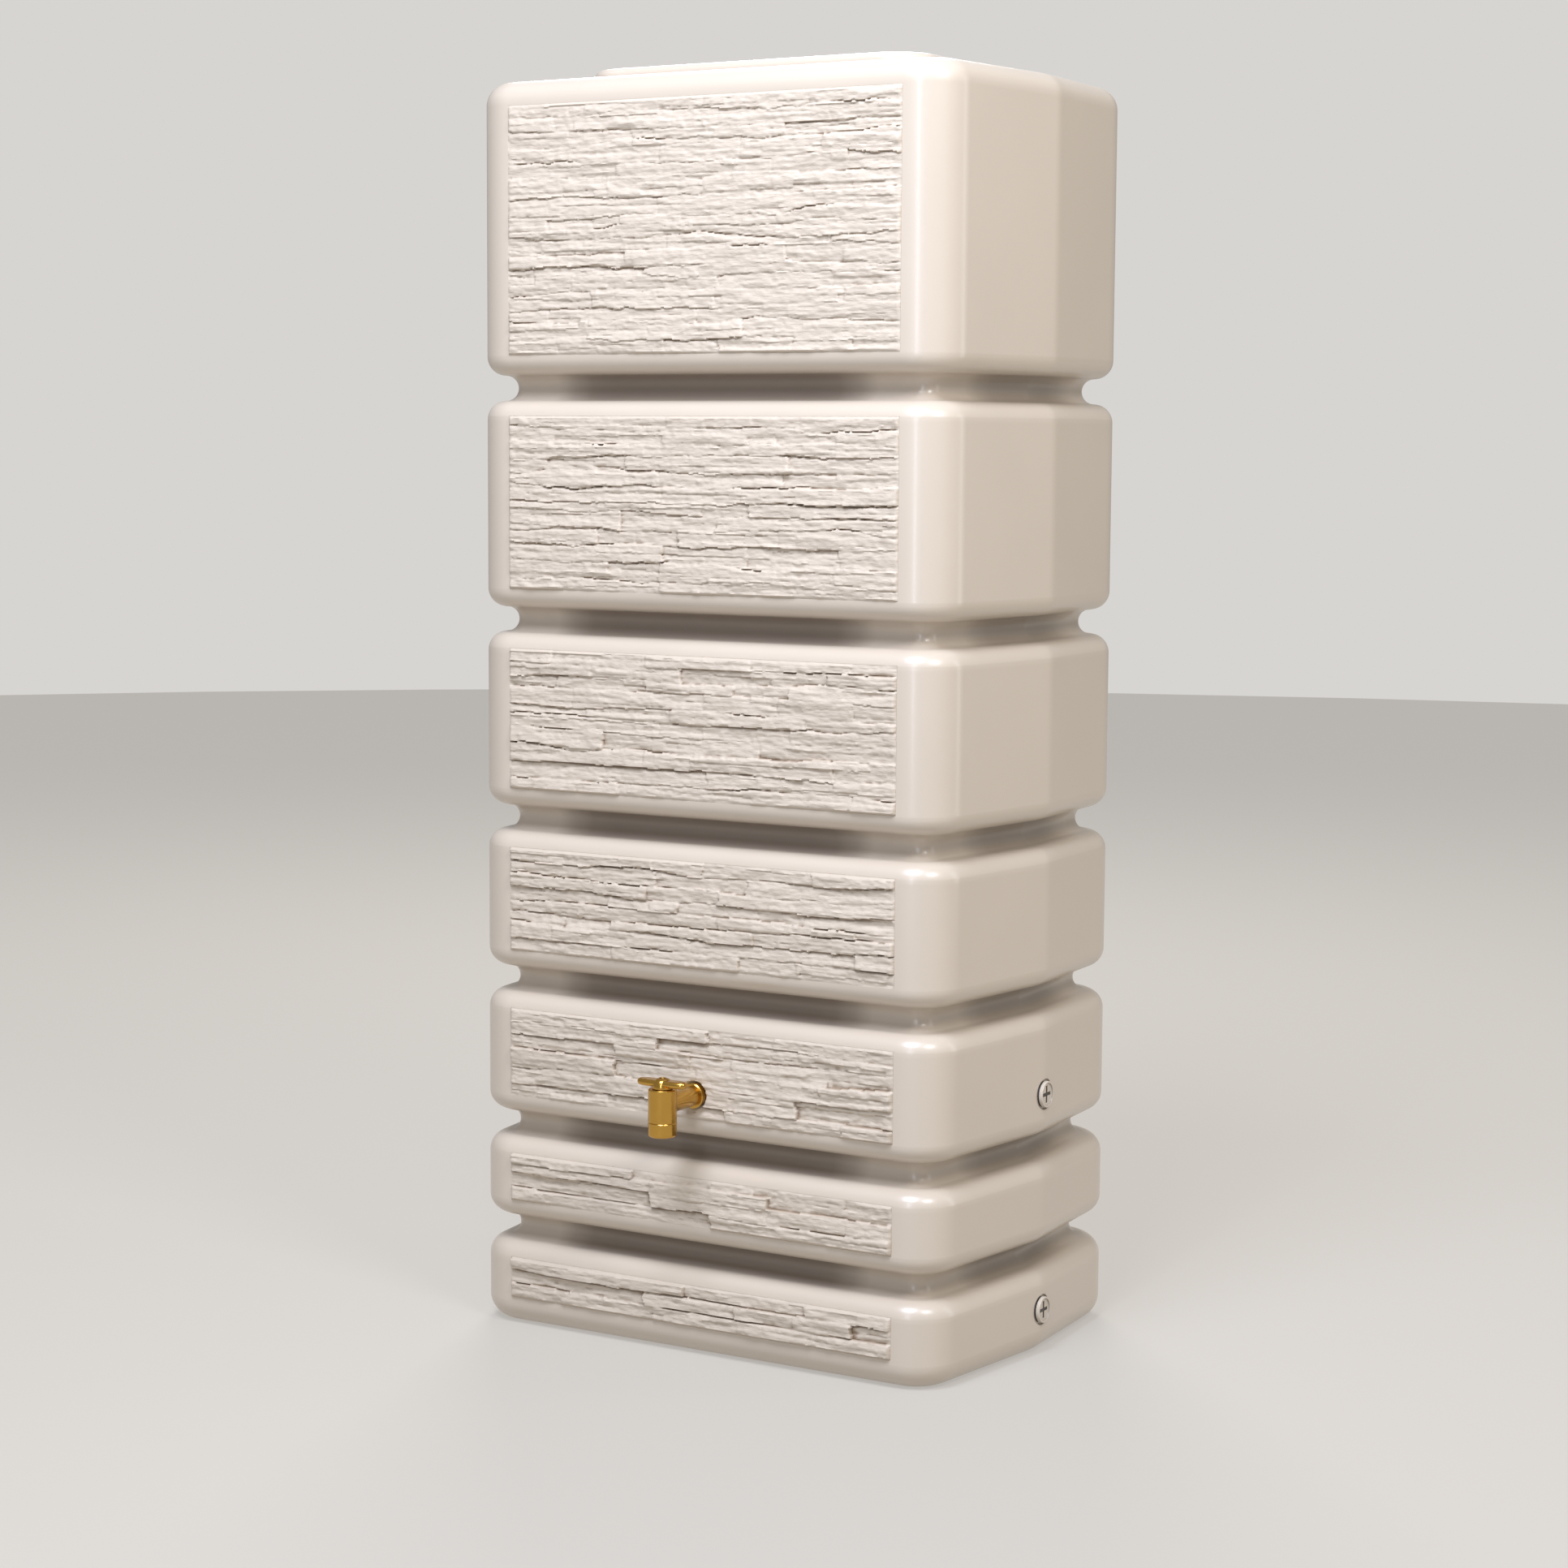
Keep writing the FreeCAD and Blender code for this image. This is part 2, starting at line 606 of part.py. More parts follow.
def tap_body():
    """The tap's casting: inlet pipe with its collar, barrel, spigot, and the ways bored through them."""
    at_axis = {"y": SPOUT_AXIS, "z": TAP_LEVEL}
    counterbore = "barrel_rise - gland_skirt - running_gap"
    barrel = turned("tap_barrel", (
        ("0", "-barrel_drop - spigot_length"),
        ("spigot_radius - 0.8", "-barrel_drop - spigot_length"),
        ("spigot_radius", "-barrel_drop - spigot_length + 0.8"),
        ("spigot_radius", "-barrel_drop"),
        ("barrel_radius", "-barrel_drop"),
        ("barrel_radius", "barrel_rise"),
        ("0", "barrel_rise"),
    ), **at_axis)
    reach = "(spout_reach + panel_recess)"
    inlet = turned("tap_inlet", (
        ("0", "-inlet_tail"),
        ("inlet_radius - 1", "-inlet_tail"),
        ("inlet_radius", "-inlet_tail + 1"),
        ("inlet_radius", "seal_thickness"),
        ("tap_collar_radius", "seal_thickness"),
        ("tap_collar_radius", "seal_thickness + tap_collar_length - 1"),
        ("tap_collar_radius - 1", "seal_thickness + tap_collar_length"),
        ("inlet_radius", "seal_thickness + tap_collar_length"),
        ("inlet_radius", reach),
        ("0", reach),
    ), y=TAP_SEAT, z=TAP_LEVEL, turn=OUT_FRONT)
    ways = joined("tap_ways", [
        cylinder("valve_chamber", "chamber_radius", "plug_drop + 2 * barrel_rise",
                 y=SPOUT_AXIS, z=TAP_LEVEL + " - plug_drop"),
        cylinder("gland_thread", "gland_radius + fixed_gap", "2 * gland_skirt",
                 y=SPOUT_AXIS, z=TAP_LEVEL + " + " + counterbore),
        cylinder("outflow", "outflow_radius", "barrel_drop + spigot_length",
                 y=SPOUT_AXIS, z=TAP_LEVEL + " - barrel_drop - 1.5 * spigot_length"),
        cylinder("inflow", "inlet_bore", "1.5 * inlet_tail + " + reach,
                 y=TAP_SEAT + " + 1.5 * inlet_tail", z=TAP_LEVEL, turn=OUT_FRONT),
    ])
    return cut_away("tap_body", joined("tap_casting", [barrel, inlet]), ways)


def tap_wall_pieces():
    """The two seals that clamp the tank's wall, and the back nut that draws them up from inside."""
    washer("tap_seal_outer", "inlet_radius + fixed_gap", "tap_collar_radius", "seal_thickness",
           y=TAP_SEAT, z=TAP_LEVEL, turn=OUT_FRONT)
    inside = "-depth / 2 + wall + seal_thickness"
    washer("tap_seal_inner", "inlet_radius + fixed_gap", "nut_flats / 2", "seal_thickness",
           y=inside, z=TAP_LEVEL, turn=OUT_FRONT)
    nut_base = {"y": inside + " + nut_thickness", "z": TAP_LEVEL, "turn": OUT_FRONT}
    prism = doc.addObject("Part::Prism", "nut_hexagon")
    prism.Polygon = 6
    bind(prism, Circumradius="nut_flats / 2 / cos(30)", Height="nut_thickness")
    place(prism, **nut_base)
    full = "nut_flats / 2 / cos(30)"
    shape = turned("nut_chamfers", (
        ("0", "0"), ("nut_flats / 2", "0"), (full, "nut_thickness / 6"),
        (full, "nut_thickness"), ("0", "nut_thickness"),
    ), **nut_base)
    blank = doc.addObject("Part::Common", "nut_blank")
    blank.Base = prism
    blank.Tool = shape
    thread = cylinder("nut_thread", "inlet_radius + fixed_gap", "nut_thickness", **nut_base)
    return cut_away("tap_back_nut", blank, thread)


def valve_plug():
    """The hollow plug that turns in the barrel: a side port, two ring grooves, a stem and a square."""
    at_axis = {"y": SPOUT_AXIS, "z": TAP_LEVEL}
    outside = "chamber_radius - running_gap"
    inside = "chamber_radius - running_gap - plug_wall"
    hollow_top = "port_radius + 1.5"
    groove = "chamber_radius - 2 * ring_section - 2.5 * fixed_gap - running_gap / 2"
    low = "-plug_drop + running_gap"
    high = "barrel_rise - running_gap"
    stem_top = "barrel_rise + gland_height + running_gap"
    side = "(ring_section + 2 * fixed_gap)"
    plug = turned("plug_turning", (
        ("0", hollow_top), (inside, hollow_top), (inside, low), (outside, low),
        (outside, f"-ring_offset - {side}"), (groove, f"-ring_offset - {side}"),
        (groove, f"-ring_offset + {side}"), (outside, f"-ring_offset + {side}"),
        (outside, f"ring_offset - {side}"), (groove, f"ring_offset - {side}"),
        (groove, f"ring_offset + {side}"), (outside, f"ring_offset + {side}"),
        (outside, high), ("stem_radius", high), ("stem_radius", stem_top), ("0", stem_top),
    ), **at_axis)
    square = doc.addObject("Part::Box", "stem_square_block")
    bind(square, Length="stem_square", Width="stem_square", Height="square_height")
    place(square, x="-stem_square / 2", y=SPOUT_AXIS + " - stem_square / 2", z=TAP_LEVEL + " + " + stem_top)
    port = cylinder("side_port", "port_radius", "2 * chamber_radius", turn=OUT_RIGHT, **at_axis)
    hole = cylinder("stem_screw_hole", "screw_radius + fixed_gap", "2 * screw_reach",
                    y=SPOUT_AXIS, z=f"{TAP_LEVEL} + {stem_top} + square_height - screw_reach - 0.5")
    return cut_away("valve_plug", joined("plug_and_square", [plug, square]),
                    joined("plug_holes", [port, hole]))


def o_rings():
    """The rings that seal the valve plug above and below its port."""
    for where, sign in (("upper", "+"), ("lower", "-")):
        ring = doc.addObject("Part::Torus", f"plug_o_ring_{where}")
        bind(ring, Radius1="chamber_radius - ring_section - running_gap / 2", Radius2="ring_section")
        place(ring, y=SPOUT_AXIS, z=f"{TAP_LEVEL} {sign} ring_offset")


def gland_nut():
    """The nut that closes the barrel and guides the stem."""
    top = "barrel_rise + gland_height"
    hole = "stem_radius + running_gap"
    return turned("gland_nut", (
        ("chamber_radius", "barrel_rise - gland_skirt"), ("gland_radius", "barrel_rise - gland_skirt"),
        ("gland_radius", "barrel_rise"), ("barrel_radius", "barrel_rise"),
        ("barrel_radius", top + " - 1"), ("barrel_radius - 1", top),
        (hole, top), (hole, "barrel_rise"), ("chamber_radius", "barrel_rise"),
    ), y=SPOUT_AXIS, z=TAP_LEVEL)


HANDLE_BASE = TAP_LEVEL + " + barrel_rise + gland_height + running_gap"


def tap_handle():
    """The handle: a domed hub with a wing on each side, a square socket below and a screw hole above."""
    body = doc.addObject("PartDesign::Body", "tap_handle")
    hub = outline_sketch(body, "hub_outline", "XZ_Plane", (
        ("0", "0"), ("hub_radius", "0"), ("hub_radius", "hub_height"), ("0", "hub_height"),
    ))
    spin = body.newObject("PartDesign::Revolution", "hub_turned")
    spin.Profile = hub
    spin.ReferenceAxis = (hub, ["V_Axis"])
    spin.Angle = 360
    doc.recompute()
    rounded(body, "hub_rounding", rim_edges(spin.Shape, size("hub_height")), "hub_dome")
    wings = outline_sketch(body, "wing_outline", "XZ_Plane", (
        ("-wing_reach", "wing_drop"), ("-hub_radius", "0.5"), ("hub_radius", "0.5"),
        ("wing_reach", "wing_drop"), ("wing_reach", "wing_tip"), ("hub_radius / 2", "wing_height"),
        ("-hub_radius / 2", "wing_height"), ("-wing_reach", "wing_tip"),
    ))
    blade = body.newObject("PartDesign::Pad", "wings")
    blade.Profile = wings
    blade.SideType = "Symmetric"
    bind(blade, Length="wing_thickness")
    doc.recompute()
    reach = size("wing_reach")
    tips = [f"Edge{i}" for i, edge in enumerate(blade.Shape.Edges, start=1)
            if edge.BoundBox.YLength > size("wing_thickness") - 0.01
            and abs(abs(edge.CenterOfMass.x) - reach) < 0.01]
    rounded(body, "wing_tips", tips, "wing_round")
    half = "(stem_square / 2 + fixed_gap)"
    socket_corners = [(f"{x}{half}", f"{y}{half}") for x, y in (("-", "-"), ("", "-"), ("", ""), ("-", ""))]
    pocket_out(body, "square_socket", "XY_Plane", socket_corners, "square_height + running_gap", True)
    drill = outline_sketch(body, "screw_outline", "XZ_Plane", (
        ("0", "0"), ("screw_radius + fixed_gap", "0"),
        ("screw_radius + fixed_gap", "wing_height - screw_sink"),
        ("screw_head + running_gap", "wing_height - screw_sink"),
        ("screw_head + running_gap", "wing_height + 1"), ("0", "wing_height + 1"),
    ))
    hole = body.newObject("PartDesign::Groove", "screw_hole")
    hole.Profile = drill
    hole.ReferenceAxis = (drill, ["V_Axis"])
    hole.Angle = 360
    return place(body, y=SPOUT_AXIS, z=HANDLE_BASE)


def handle_screw():
    """The screw that holds the handle on the stem: a round head over a plain shank."""
    seat = "(wing_height - screw_sink)"
    low = "(square_height - screw_reach)"
    return turned("handle_screw", (
        ("0", low), ("screw_radius", low), ("screw_radius", seat), ("screw_head", seat),
        ("screw_head", seat + " + screw_head_height / 2"),
        ("screw_head / 2", seat + " + screw_head_height"),
        ("0", seat + " + screw_head_height"),
    ), y=SPOUT_AXIS, z=HANDLE_BASE)


def outlet():
    """The nozzle that screws on under the barrel, and the washer that it presses on the spigot's end."""
    at_shoulder = {"y": SPOUT_AXIS, "z": TAP_LEVEL + " - barrel_drop"}
    low = "-nozzle_length"
    pocket = "(nozzle_floor - nozzle_length)"
    thread = "spigot_radius + fixed_gap"
    turned("outlet_nozzle", (
        ("nozzle_bore", low), ("barrel_radius - 1.5", low), ("barrel_radius - 0.5", low + " + 1"),
        ("barrel_radius", low + " + 2"), ("barrel_radius", "-1.2"), ("barrel_radius - 0.8", "0"),
        (thread, "0"), (thread, pocket), ("nozzle_bore", pocket),
    ), **at_shoulder)
    washer("nozzle_washer", "nozzle_bore + 2 * running_gap", "spigot_radius", "washer_thickness",
           y=SPOUT_AXIS, z=TAP_LEVEL + " - barrel_drop + " + pocket)


def side_fittings():
    """The two plugged outlets on the right-hand ridge: each a bush, a seal and a cross-slotted plug."""
    for where, height in SIDE_PLUGS:
        at_seat = {"x": SIDE_SEAT, "y": RIDGE, "z": height, "turn": OUT_RIGHT}
        boss = "side_boss_length"
        bore = "plug_thread + fixed_gap"
        turned(f"side_bush_{where}", (
            (bore, f"-{boss} - bush_flange_thickness"), ("bush_flange", f"-{boss} - bush_flange_thickness"),
            ("bush_flange", f"-{boss}"), ("bush_radius", f"-{boss}"), ("bush_radius", "0"), (bore, "0"),
        ), **at_seat)
        washer(f"side_seal_{where}", bore, "plug_head - 0.5", "seal_thickness", **at_seat)
        head_top = "seal_thickness + plug_head_height"
        dish = head_top + " - plug_dish"
        blank = turned(f"plug_blank_{where}", (
            ("0", "seal_thickness - plug_thread_length"),
            ("plug_thread - 1", "seal_thickness - plug_thread_length"),
            ("plug_thread", "seal_thickness - plug_thread_length + 1"), ("plug_thread", "seal_thickness"),
            ("plug_head", "seal_thickness"), ("plug_head", head_top + " - 0.8"),
            ("plug_head - 0.8", head_top), ("plug_head - plug_rim", head_top),
            ("plug_head - plug_rim - plug_dish", dish), ("0", dish),
        ), **at_seat)
        slots = [slot_cut(f"slot_{way}_{where}", height, *spans) for way, *spans in (
            ("across", "slot_length", "slot_width"), ("upright", "slot_width", "slot_length"))]
        cut_away(f"side_plug_{where}", blank, joined(f"cross_{where}", slots))


def slot_cut(label, height, across, upright):
    """One slot of the cross in a side plug's head."""
    floor = SIDE_SEAT + " + seal_thickness + plug_head_height - plug_dish - slot_depth"
    slot = doc.addObject("Part::Box", label)
    bind(slot, Length="2 * slot_depth", Width=across, Height=upright)
    return place(slot, x=floor, y=f"{RIDGE} - {across} / 2", z=f"{height} - {upright} / 2")


def write_parts():
    """Checks every object of the document, then writes each piece's shape to a file of its own name."""
    doc.recompute()
    bad = [item.Name for item in doc.Objects if {"Invalid", "Error"} & set(item.State)]
    if bad:
        raise RuntimeError(f"these did not build: {bad}")
    shapes = {name: doc.getObjectsByLabel(name)[0].Shape for name in PIECES}
    for name, shape in shapes.items():
        if shape.isNull() or not shape.isValid() or len(shape.Solids) != 1:
            raise RuntimeError(f"{name} is not one valid solid")
    os.makedirs("parts", exist_ok=True)
    for name, shape in shapes.items():
        shape.exportStep(os.path.join("parts", name + ".step"))


PIECES = (
    "tank_body", "lid",
    "tap_body", "tap_seal_outer", "tap_seal_inner", "tap_back_nut", "gland_nut",
    "valve_plug", "plug_o_ring_upper", "plug_o_ring_lower", "tap_handle", "handle_screw",
    "outlet_nozzle", "nozzle_washer",
    "side_plug_upper", "side_seal_upper", "side_bush_upper",
    "side_plug_lower", "side_seal_lower", "side_bush_lower",
)

tank_body()
lid()
tap_body()
tap_wall_pieces()
gland_nut()
valve_plug()
o_rings()
tap_handle()
handle_screw()
outlet()
side_fittings()
write_parts()
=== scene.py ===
"""Dresses the rainwater tank: moulded skin, stone front, lid, tap, side plugs, finishes, light and camera.

Lengths are metres in the tank's own frame: the origin is the middle of the foot, +Z is up, and the stone
front faces -Y.
"""

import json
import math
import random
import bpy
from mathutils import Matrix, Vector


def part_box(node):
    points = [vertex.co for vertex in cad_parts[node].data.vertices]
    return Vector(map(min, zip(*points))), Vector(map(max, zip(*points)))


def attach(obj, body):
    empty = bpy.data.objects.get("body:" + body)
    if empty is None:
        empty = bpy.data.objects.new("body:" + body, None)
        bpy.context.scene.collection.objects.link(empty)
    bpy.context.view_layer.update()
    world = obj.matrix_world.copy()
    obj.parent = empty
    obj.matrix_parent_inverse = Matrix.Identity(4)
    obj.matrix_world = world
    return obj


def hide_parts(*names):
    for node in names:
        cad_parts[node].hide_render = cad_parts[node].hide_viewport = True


bl_info = {
    "name": "Rainwater Tank Dressing",
    "version": (1, 0, 0),
    "blender": (4, 5, 0),
    "location": "View3D > Sidebar > Tank",
    "description": "Builds the visible surfaces and finishes of a column rainwater tank",
    "category": "Add Mesh",
}

import bpy
import numpy as np
from bpy.props import FloatProperty, FloatVectorProperty, IntProperty, PointerProperty
from mathutils import Matrix, Vector

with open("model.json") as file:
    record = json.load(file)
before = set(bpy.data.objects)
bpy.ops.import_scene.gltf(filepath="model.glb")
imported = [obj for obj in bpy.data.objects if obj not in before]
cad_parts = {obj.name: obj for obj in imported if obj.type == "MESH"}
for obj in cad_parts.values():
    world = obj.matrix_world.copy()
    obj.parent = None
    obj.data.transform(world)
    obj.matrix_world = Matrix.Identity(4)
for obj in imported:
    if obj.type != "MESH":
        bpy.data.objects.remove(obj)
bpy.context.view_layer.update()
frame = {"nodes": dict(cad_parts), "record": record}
MM = 0.001
BAND_COUNT = 7
STONE_SEED = 41
CARVING_SEED = 1000

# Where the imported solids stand, read from the frame.
HANDLE_LOW, HANDLE_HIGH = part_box("tap_handle")
LID_LOW, LID_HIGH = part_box("lid")
SEAL_LOW, SEAL_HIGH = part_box("tap_seal_outer")

# The grid of the moulding: columns on the front and the sides, rows and columns of the windows round the side
# plugs, and how near to a rounding a row or column stands, so that the flat beside it stays flat.
FRONT_COLUMNS = MM * np.array([-226, -212, -195, -175, -150, -120, -60, 0, 60, 120, 150, 175, 195, 212, 226])
SIDE_COLUMNS = MM * np.array([-135, -118, -98, -75, -50])
PLUG_WINDOW = 22 * MM
PLUG_ROWS = 13
RIDGE_FLAT = 9 * MM
RIDGE_STEPS = 4
LEAD = 1.8 * MM
SAME_LEVEL = 0.01 * MM

# Turned pieces and small edges: steps in a whole turn, the usual small edge, and the rounded edge of a plug's
# seat, as how far out and how deep each of its circles stands, in millimetres.
TURNED_STEPS = 144
SMALL_EDGE = 0.3 * MM
SEAT_EDGE = ((0.5, 0), (0.12, 0.12), (0, 0.5))

# The painted shade in a groove: where it begins behind the front, and the depth over which it grows.
SHADE_START = 6 * MM
SHADE_DEPTH = 24 * MM

# How the stones are drawn, the same as in the solid: shares of the usual height and length, and the slant in
# millimetres.
COURSE_SHARES = (0.72, 1.28)
STONE_SHARES = (0.45, 1.9)
LAST_SHARE = 0.4
SLANT = 0.9

# Layers of the split surface, lengths in millimetres. Waves between courses: share and length. Chips: share
# that stands out, share that folds in, length and height. Flakes: depth, thickness, length and sway. Swells:
# height, length across and length up.
WAVES = ((1, 80), (0.35, 17), (0.15, 5))
CHIPS = ((0.9, 2.0, 30, 8), (0.5, 1.2, 12, 4.5))
FLAKES = ((0.7, 7, 80, 1.6), (0.35, 3.4, 34, 1.0))
SWELLS = ((0.5, 40, 9), (0.35, 5, 2.6))

# Shares of the usual thickness and length between which flakes are drawn. Jags of the upright breaks: how far
# they shift a break, their length and their height, in millimetres. Worn edges: depth and reach in
# millimetres, where the depth on a flake is a share of the flake's own.
FLAKE_THICKNESS = (0.6, 1.5)
FLAKE_LENGTH = (0.35, 1.8)
STONE_JAG = (2.2, 30, 5)
FLAKE_JAG = (2, 22, 4)
WORN_TOP = (0.9, 2.2)
WORN_SIDE = (0.5, 1.5)
WORN_FLAKE = (0.5, 1.6)

# The carving of the foot band, and its change up to the top band: sway of the edges between courses, ground
# under the stones and depth of the chips, in millimetres, share of a stone's stand, and how readily a joint
# opens.
SWAY = (1.1, 2.9)
GROUND = (0.9, 0.6)
STAND = (1.05, -0.52)
CHIP = (0.75, -0.2)
OPENNESS = (0.15, -0.6)

# How far the top band's stones are drawn to the mean of their course, as a share. Tilt of a stone, width of
# an open joint and of its edge, border of a panel, least stand, and how far the split surface may stand over
# the boldest stone, in millimetres. Patches with open joints: strength, length and height.
EVENING = 0.4
TILT = 0.9
JOINT_WIDTH = 0.3
JOINT_EDGE = 1.1
BORDER = 2.4
LEAST_STAND = 0.05
OVER_STAND = 1.5
OPEN_PATCHES = (1.8, 60, 12)

# Painted shade deep between the stones: reach up and across of the neighbourhood, the depth where it
# begins and the depth over which it grows, in millimetres, and its greatest share.
HOLLOW_REACH = (4.6, 9)
HOLLOW_START = 0.4
HOLLOW_DEPTH = 1.7
HOLLOW_MOST = 0.8

# The studio: the floor's radius, steps round its rim, glow and the glow's strength, and the backdrop's colour
# and its strength as light and as seen.
FLOOR_REACH = 9
FLOOR_STEPS = 64
FLOOR_GLOW = (1, 0.965, 0.92, 1)
FLOOR_GLOW_STRENGTH = 0.4
BACKDROP = (1, 0.975, 0.94, 1)
BACKDROP_LIGHT = 0.37
BACKDROP_SEEN = 0.68

# The photograph's camera: its focal length and width in pixels, its place, and its heading, tilt and roll.
FOCAL_PIXELS = 3999.12
PHOTO_PIXELS = 1932
CAMERA_PLACE = (1.7946, -3.0490, 0.9698)
CAMERA_ANGLES = (30.69, 6.09, 0.34)


def length(name, description, millimetres):
    """A length that a user can change, given in millimetres."""
    metres = millimetres * MM
    return FloatProperty(name=name, description=description, default=metres, unit="LENGTH", precision=5)


def number(name, description, default, least):
    """A whole number that a user can change."""
    return IntProperty(name=name, description=description, default=default, min=least)


def tint(name, description, red, green, blue):
    """A colour that a user can change."""
    return FloatVectorProperty(
        name=name, description=description, default=(red, green, blue), subtype="COLOR", size=3, min=0, max=1
    )


class TankForm(bpy.types.PropertyGroup):
    """Sizes of the visible surfaces, the same as the solids' where both have them."""

    front_half: length("Front half", "Half the front, out to the corner before it is rounded", 283)
    ridge_half: length("Ridge half", "Half the width over the ridges of the sides", 310.5)
    ridge_back: length("Ridge back", "How far the side ridges stand behind the front", 202)
    back_half: length("Back half", "Half the back, out to the corner before it is rounded", 298)
    depth: length("Depth", "Front to back", 410)
    front_corner: length("Front corner", "Rounding of the front corners", 50)
    ridge_round: length("Ridge rounding", "Rounding along the side ridges", 60)
    back_corner: length("Back corner", "Rounding of the back corners", 65)
    wall: length("Wall", "Thickness of the moulded wall", 4.5)
    bands: FloatVectorProperty(
        name="Bands", description="Heights of the bands from the foot up", size=BAND_COUNT, unit="LENGTH",
        default=tuple(height * MM for height in (92, 89, 133, 149.5, 188, 221, 309)),
    )
    band_roll: length("Band roll", "Rounding of the bands' edges beside a groove", 20)
    groove_root: length("Groove root", "Radius of the round at the bottom of a groove", 13.5)
    top_roll: length("Top roll", "Rounding of the shoulder under the lid", 24)
    foot_roll: length("Foot roll", "Rounding of the edge at the foot", 26)
    panel_half: length("Panel half", "Half the width of a stone panel", 237.5)
    panel_foot_inset: length("Panel foot inset", "Plain wall under a panel", 20.5)
    panel_top_inset: length("Panel top inset", "Plain wall over a panel", 16)
    crown_inset: length("Crown inset", "Plain wall over the top band's panel", 27)
    base_inset: length("Base inset", "Plain wall under the foot band's panel", 31)
    panel_recess: length("Panel recess", "How deep a panel's ground lies behind the front", 2)
    panel_back: length("Panel back", "How thick a panel is behind its ground", 1)
    pocket_depth: length("Pocket depth", "How deep the moulding is cut out behind a panel", 3.4)
    pocket_rim: length("Pocket rim", "Rounding of the moulding's edge round a panel", 0.3)
    panel_play: length("Panel play", "Play between a panel and the moulding round it", 0.32)
    stone_low: length("Low stone", "How far the flattest stones stand out", 0.4)
    stone_high: length("High stone", "How far the boldest stones stand out", 6.5)
    course_height: length("Course height", "Usual height of a course of stones", 15)
    stone_length: length("Stone length", "Usual length of a stone", 105)
    stone_grain: length("Stone grain", "Width of one step of the carved surface", 1.5)
    tap_play: length("Tap play", "Play between the tap's collar and the stones cut away round it", 0.4)
    collar_rise: length("Collar rise", "Height of the collar round the mouth", 9)
    collar_wall: length("Collar wall", "Thickness of that collar", 4.5)
    lid_wall: length("Lid wall", "Thickness of the lid", 3.5)
    lid_play: length("Lid play", "Play between the lid and the collar", 1.5)
    lid_corner: length("Lid corner", "Rounding of the lid's corners in plan", 46)
    lid_roll: length("Lid roll", "Rounding of the lid's upper edge", 7)
    seat_radius: length("Seat radius", "Radius of the flat seats of the side plugs", 16.5)
    seat_depth: length("Seat depth", "How deep those seats are cut into the ridge", 3)
    plug_head_height: length("Plug head height", "Height of a side plug's head", 4)
    plug_edge: length("Plug edge", "Rounding of the head's edge", 0.7)
    plug_rim: length("Plug rim", "Width of the raised rim round the head", 1.8)
    plug_dish: length("Plug dish", "How deep the head is dished inside its rim", 1.6)
    plug_thread: length("Plug thread", "Radius of a side plug's thread", 10)
    slot_length: length("Slot length", "Length of the slots of the cross", 18.5)
    slot_width: length("Slot width", "Width of those slots", 4)
    slot_depth: length("Slot depth", "Depth of those slots", 2.4)
    lever_width: length("Lever width", "Width of the handle's bar", 17)
    lever_plate: length("Lever plate", "Thickness of that bar", 7.2)
    lever_edge: length("Lever edge", "Rounding of that bar's edges", 3.5)
    lever_lift: length("Lever lift", "How far the bar stands over the foot of its hub", 1.8)
    lever_hub: length("Lever hub", "Radius of the handle's hub", 10.8)
    hub_step: length("Hub step", "Height of the hub's straight edge, and depth of the recess in its top", 1.4)
    lever_hole: length("Lever hole", "Radius of the recess for the screw", 3.4)
    roll_steps: number("Roll steps", "Facets in a quarter of a roll", 10, 4)
    corner_steps: number("Corner steps", "Facets in a corner of the plan", 20, 6)


class TankFinish(bpy.types.PropertyGroup):
    """Colours of the materials."""

    moulding: tint("Moulding", "Cream plastic of the tank and the lid", 0.53, 0.455, 0.37)
    # Recess is the colour of painted shade deep between the stones.
    recess: tint("Recess", "Plastic deep between the stones", 0.19, 0.12, 0.07)
    plug: tint("Plug", "Plastic of the side plugs", 0.535, 0.47, 0.39)
    slot: tint("Slot", "Shade in the cross of a side plug", 0.035, 0.025, 0.02)
    # Groove is the colour of painted shade deep in the grooves between the bands.
    groove: tint("Groove", "Plastic deep in the grooves between the bands", 0.215, 0.17, 0.13)
    gold: tint("Gold", "Plated brass of the tap", 0.58, 0.335, 0.07)
    brass: tint("Brass", "Plain brass inside", 0.72, 0.52, 0.24)
    steel: tint("Steel", "Zinc-plated steel of the screw", 0.6, 0.6, 0.6)
    rubber: tint("Rubber", "Seals and rings", 0.02, 0.02, 0.02)
    floor: tint("Floor", "Pale floor of the studio", 0.19, 0.175, 0.155)


# Surfaces: grids of points, quads between their rows, and caps, gathered for one mesh.


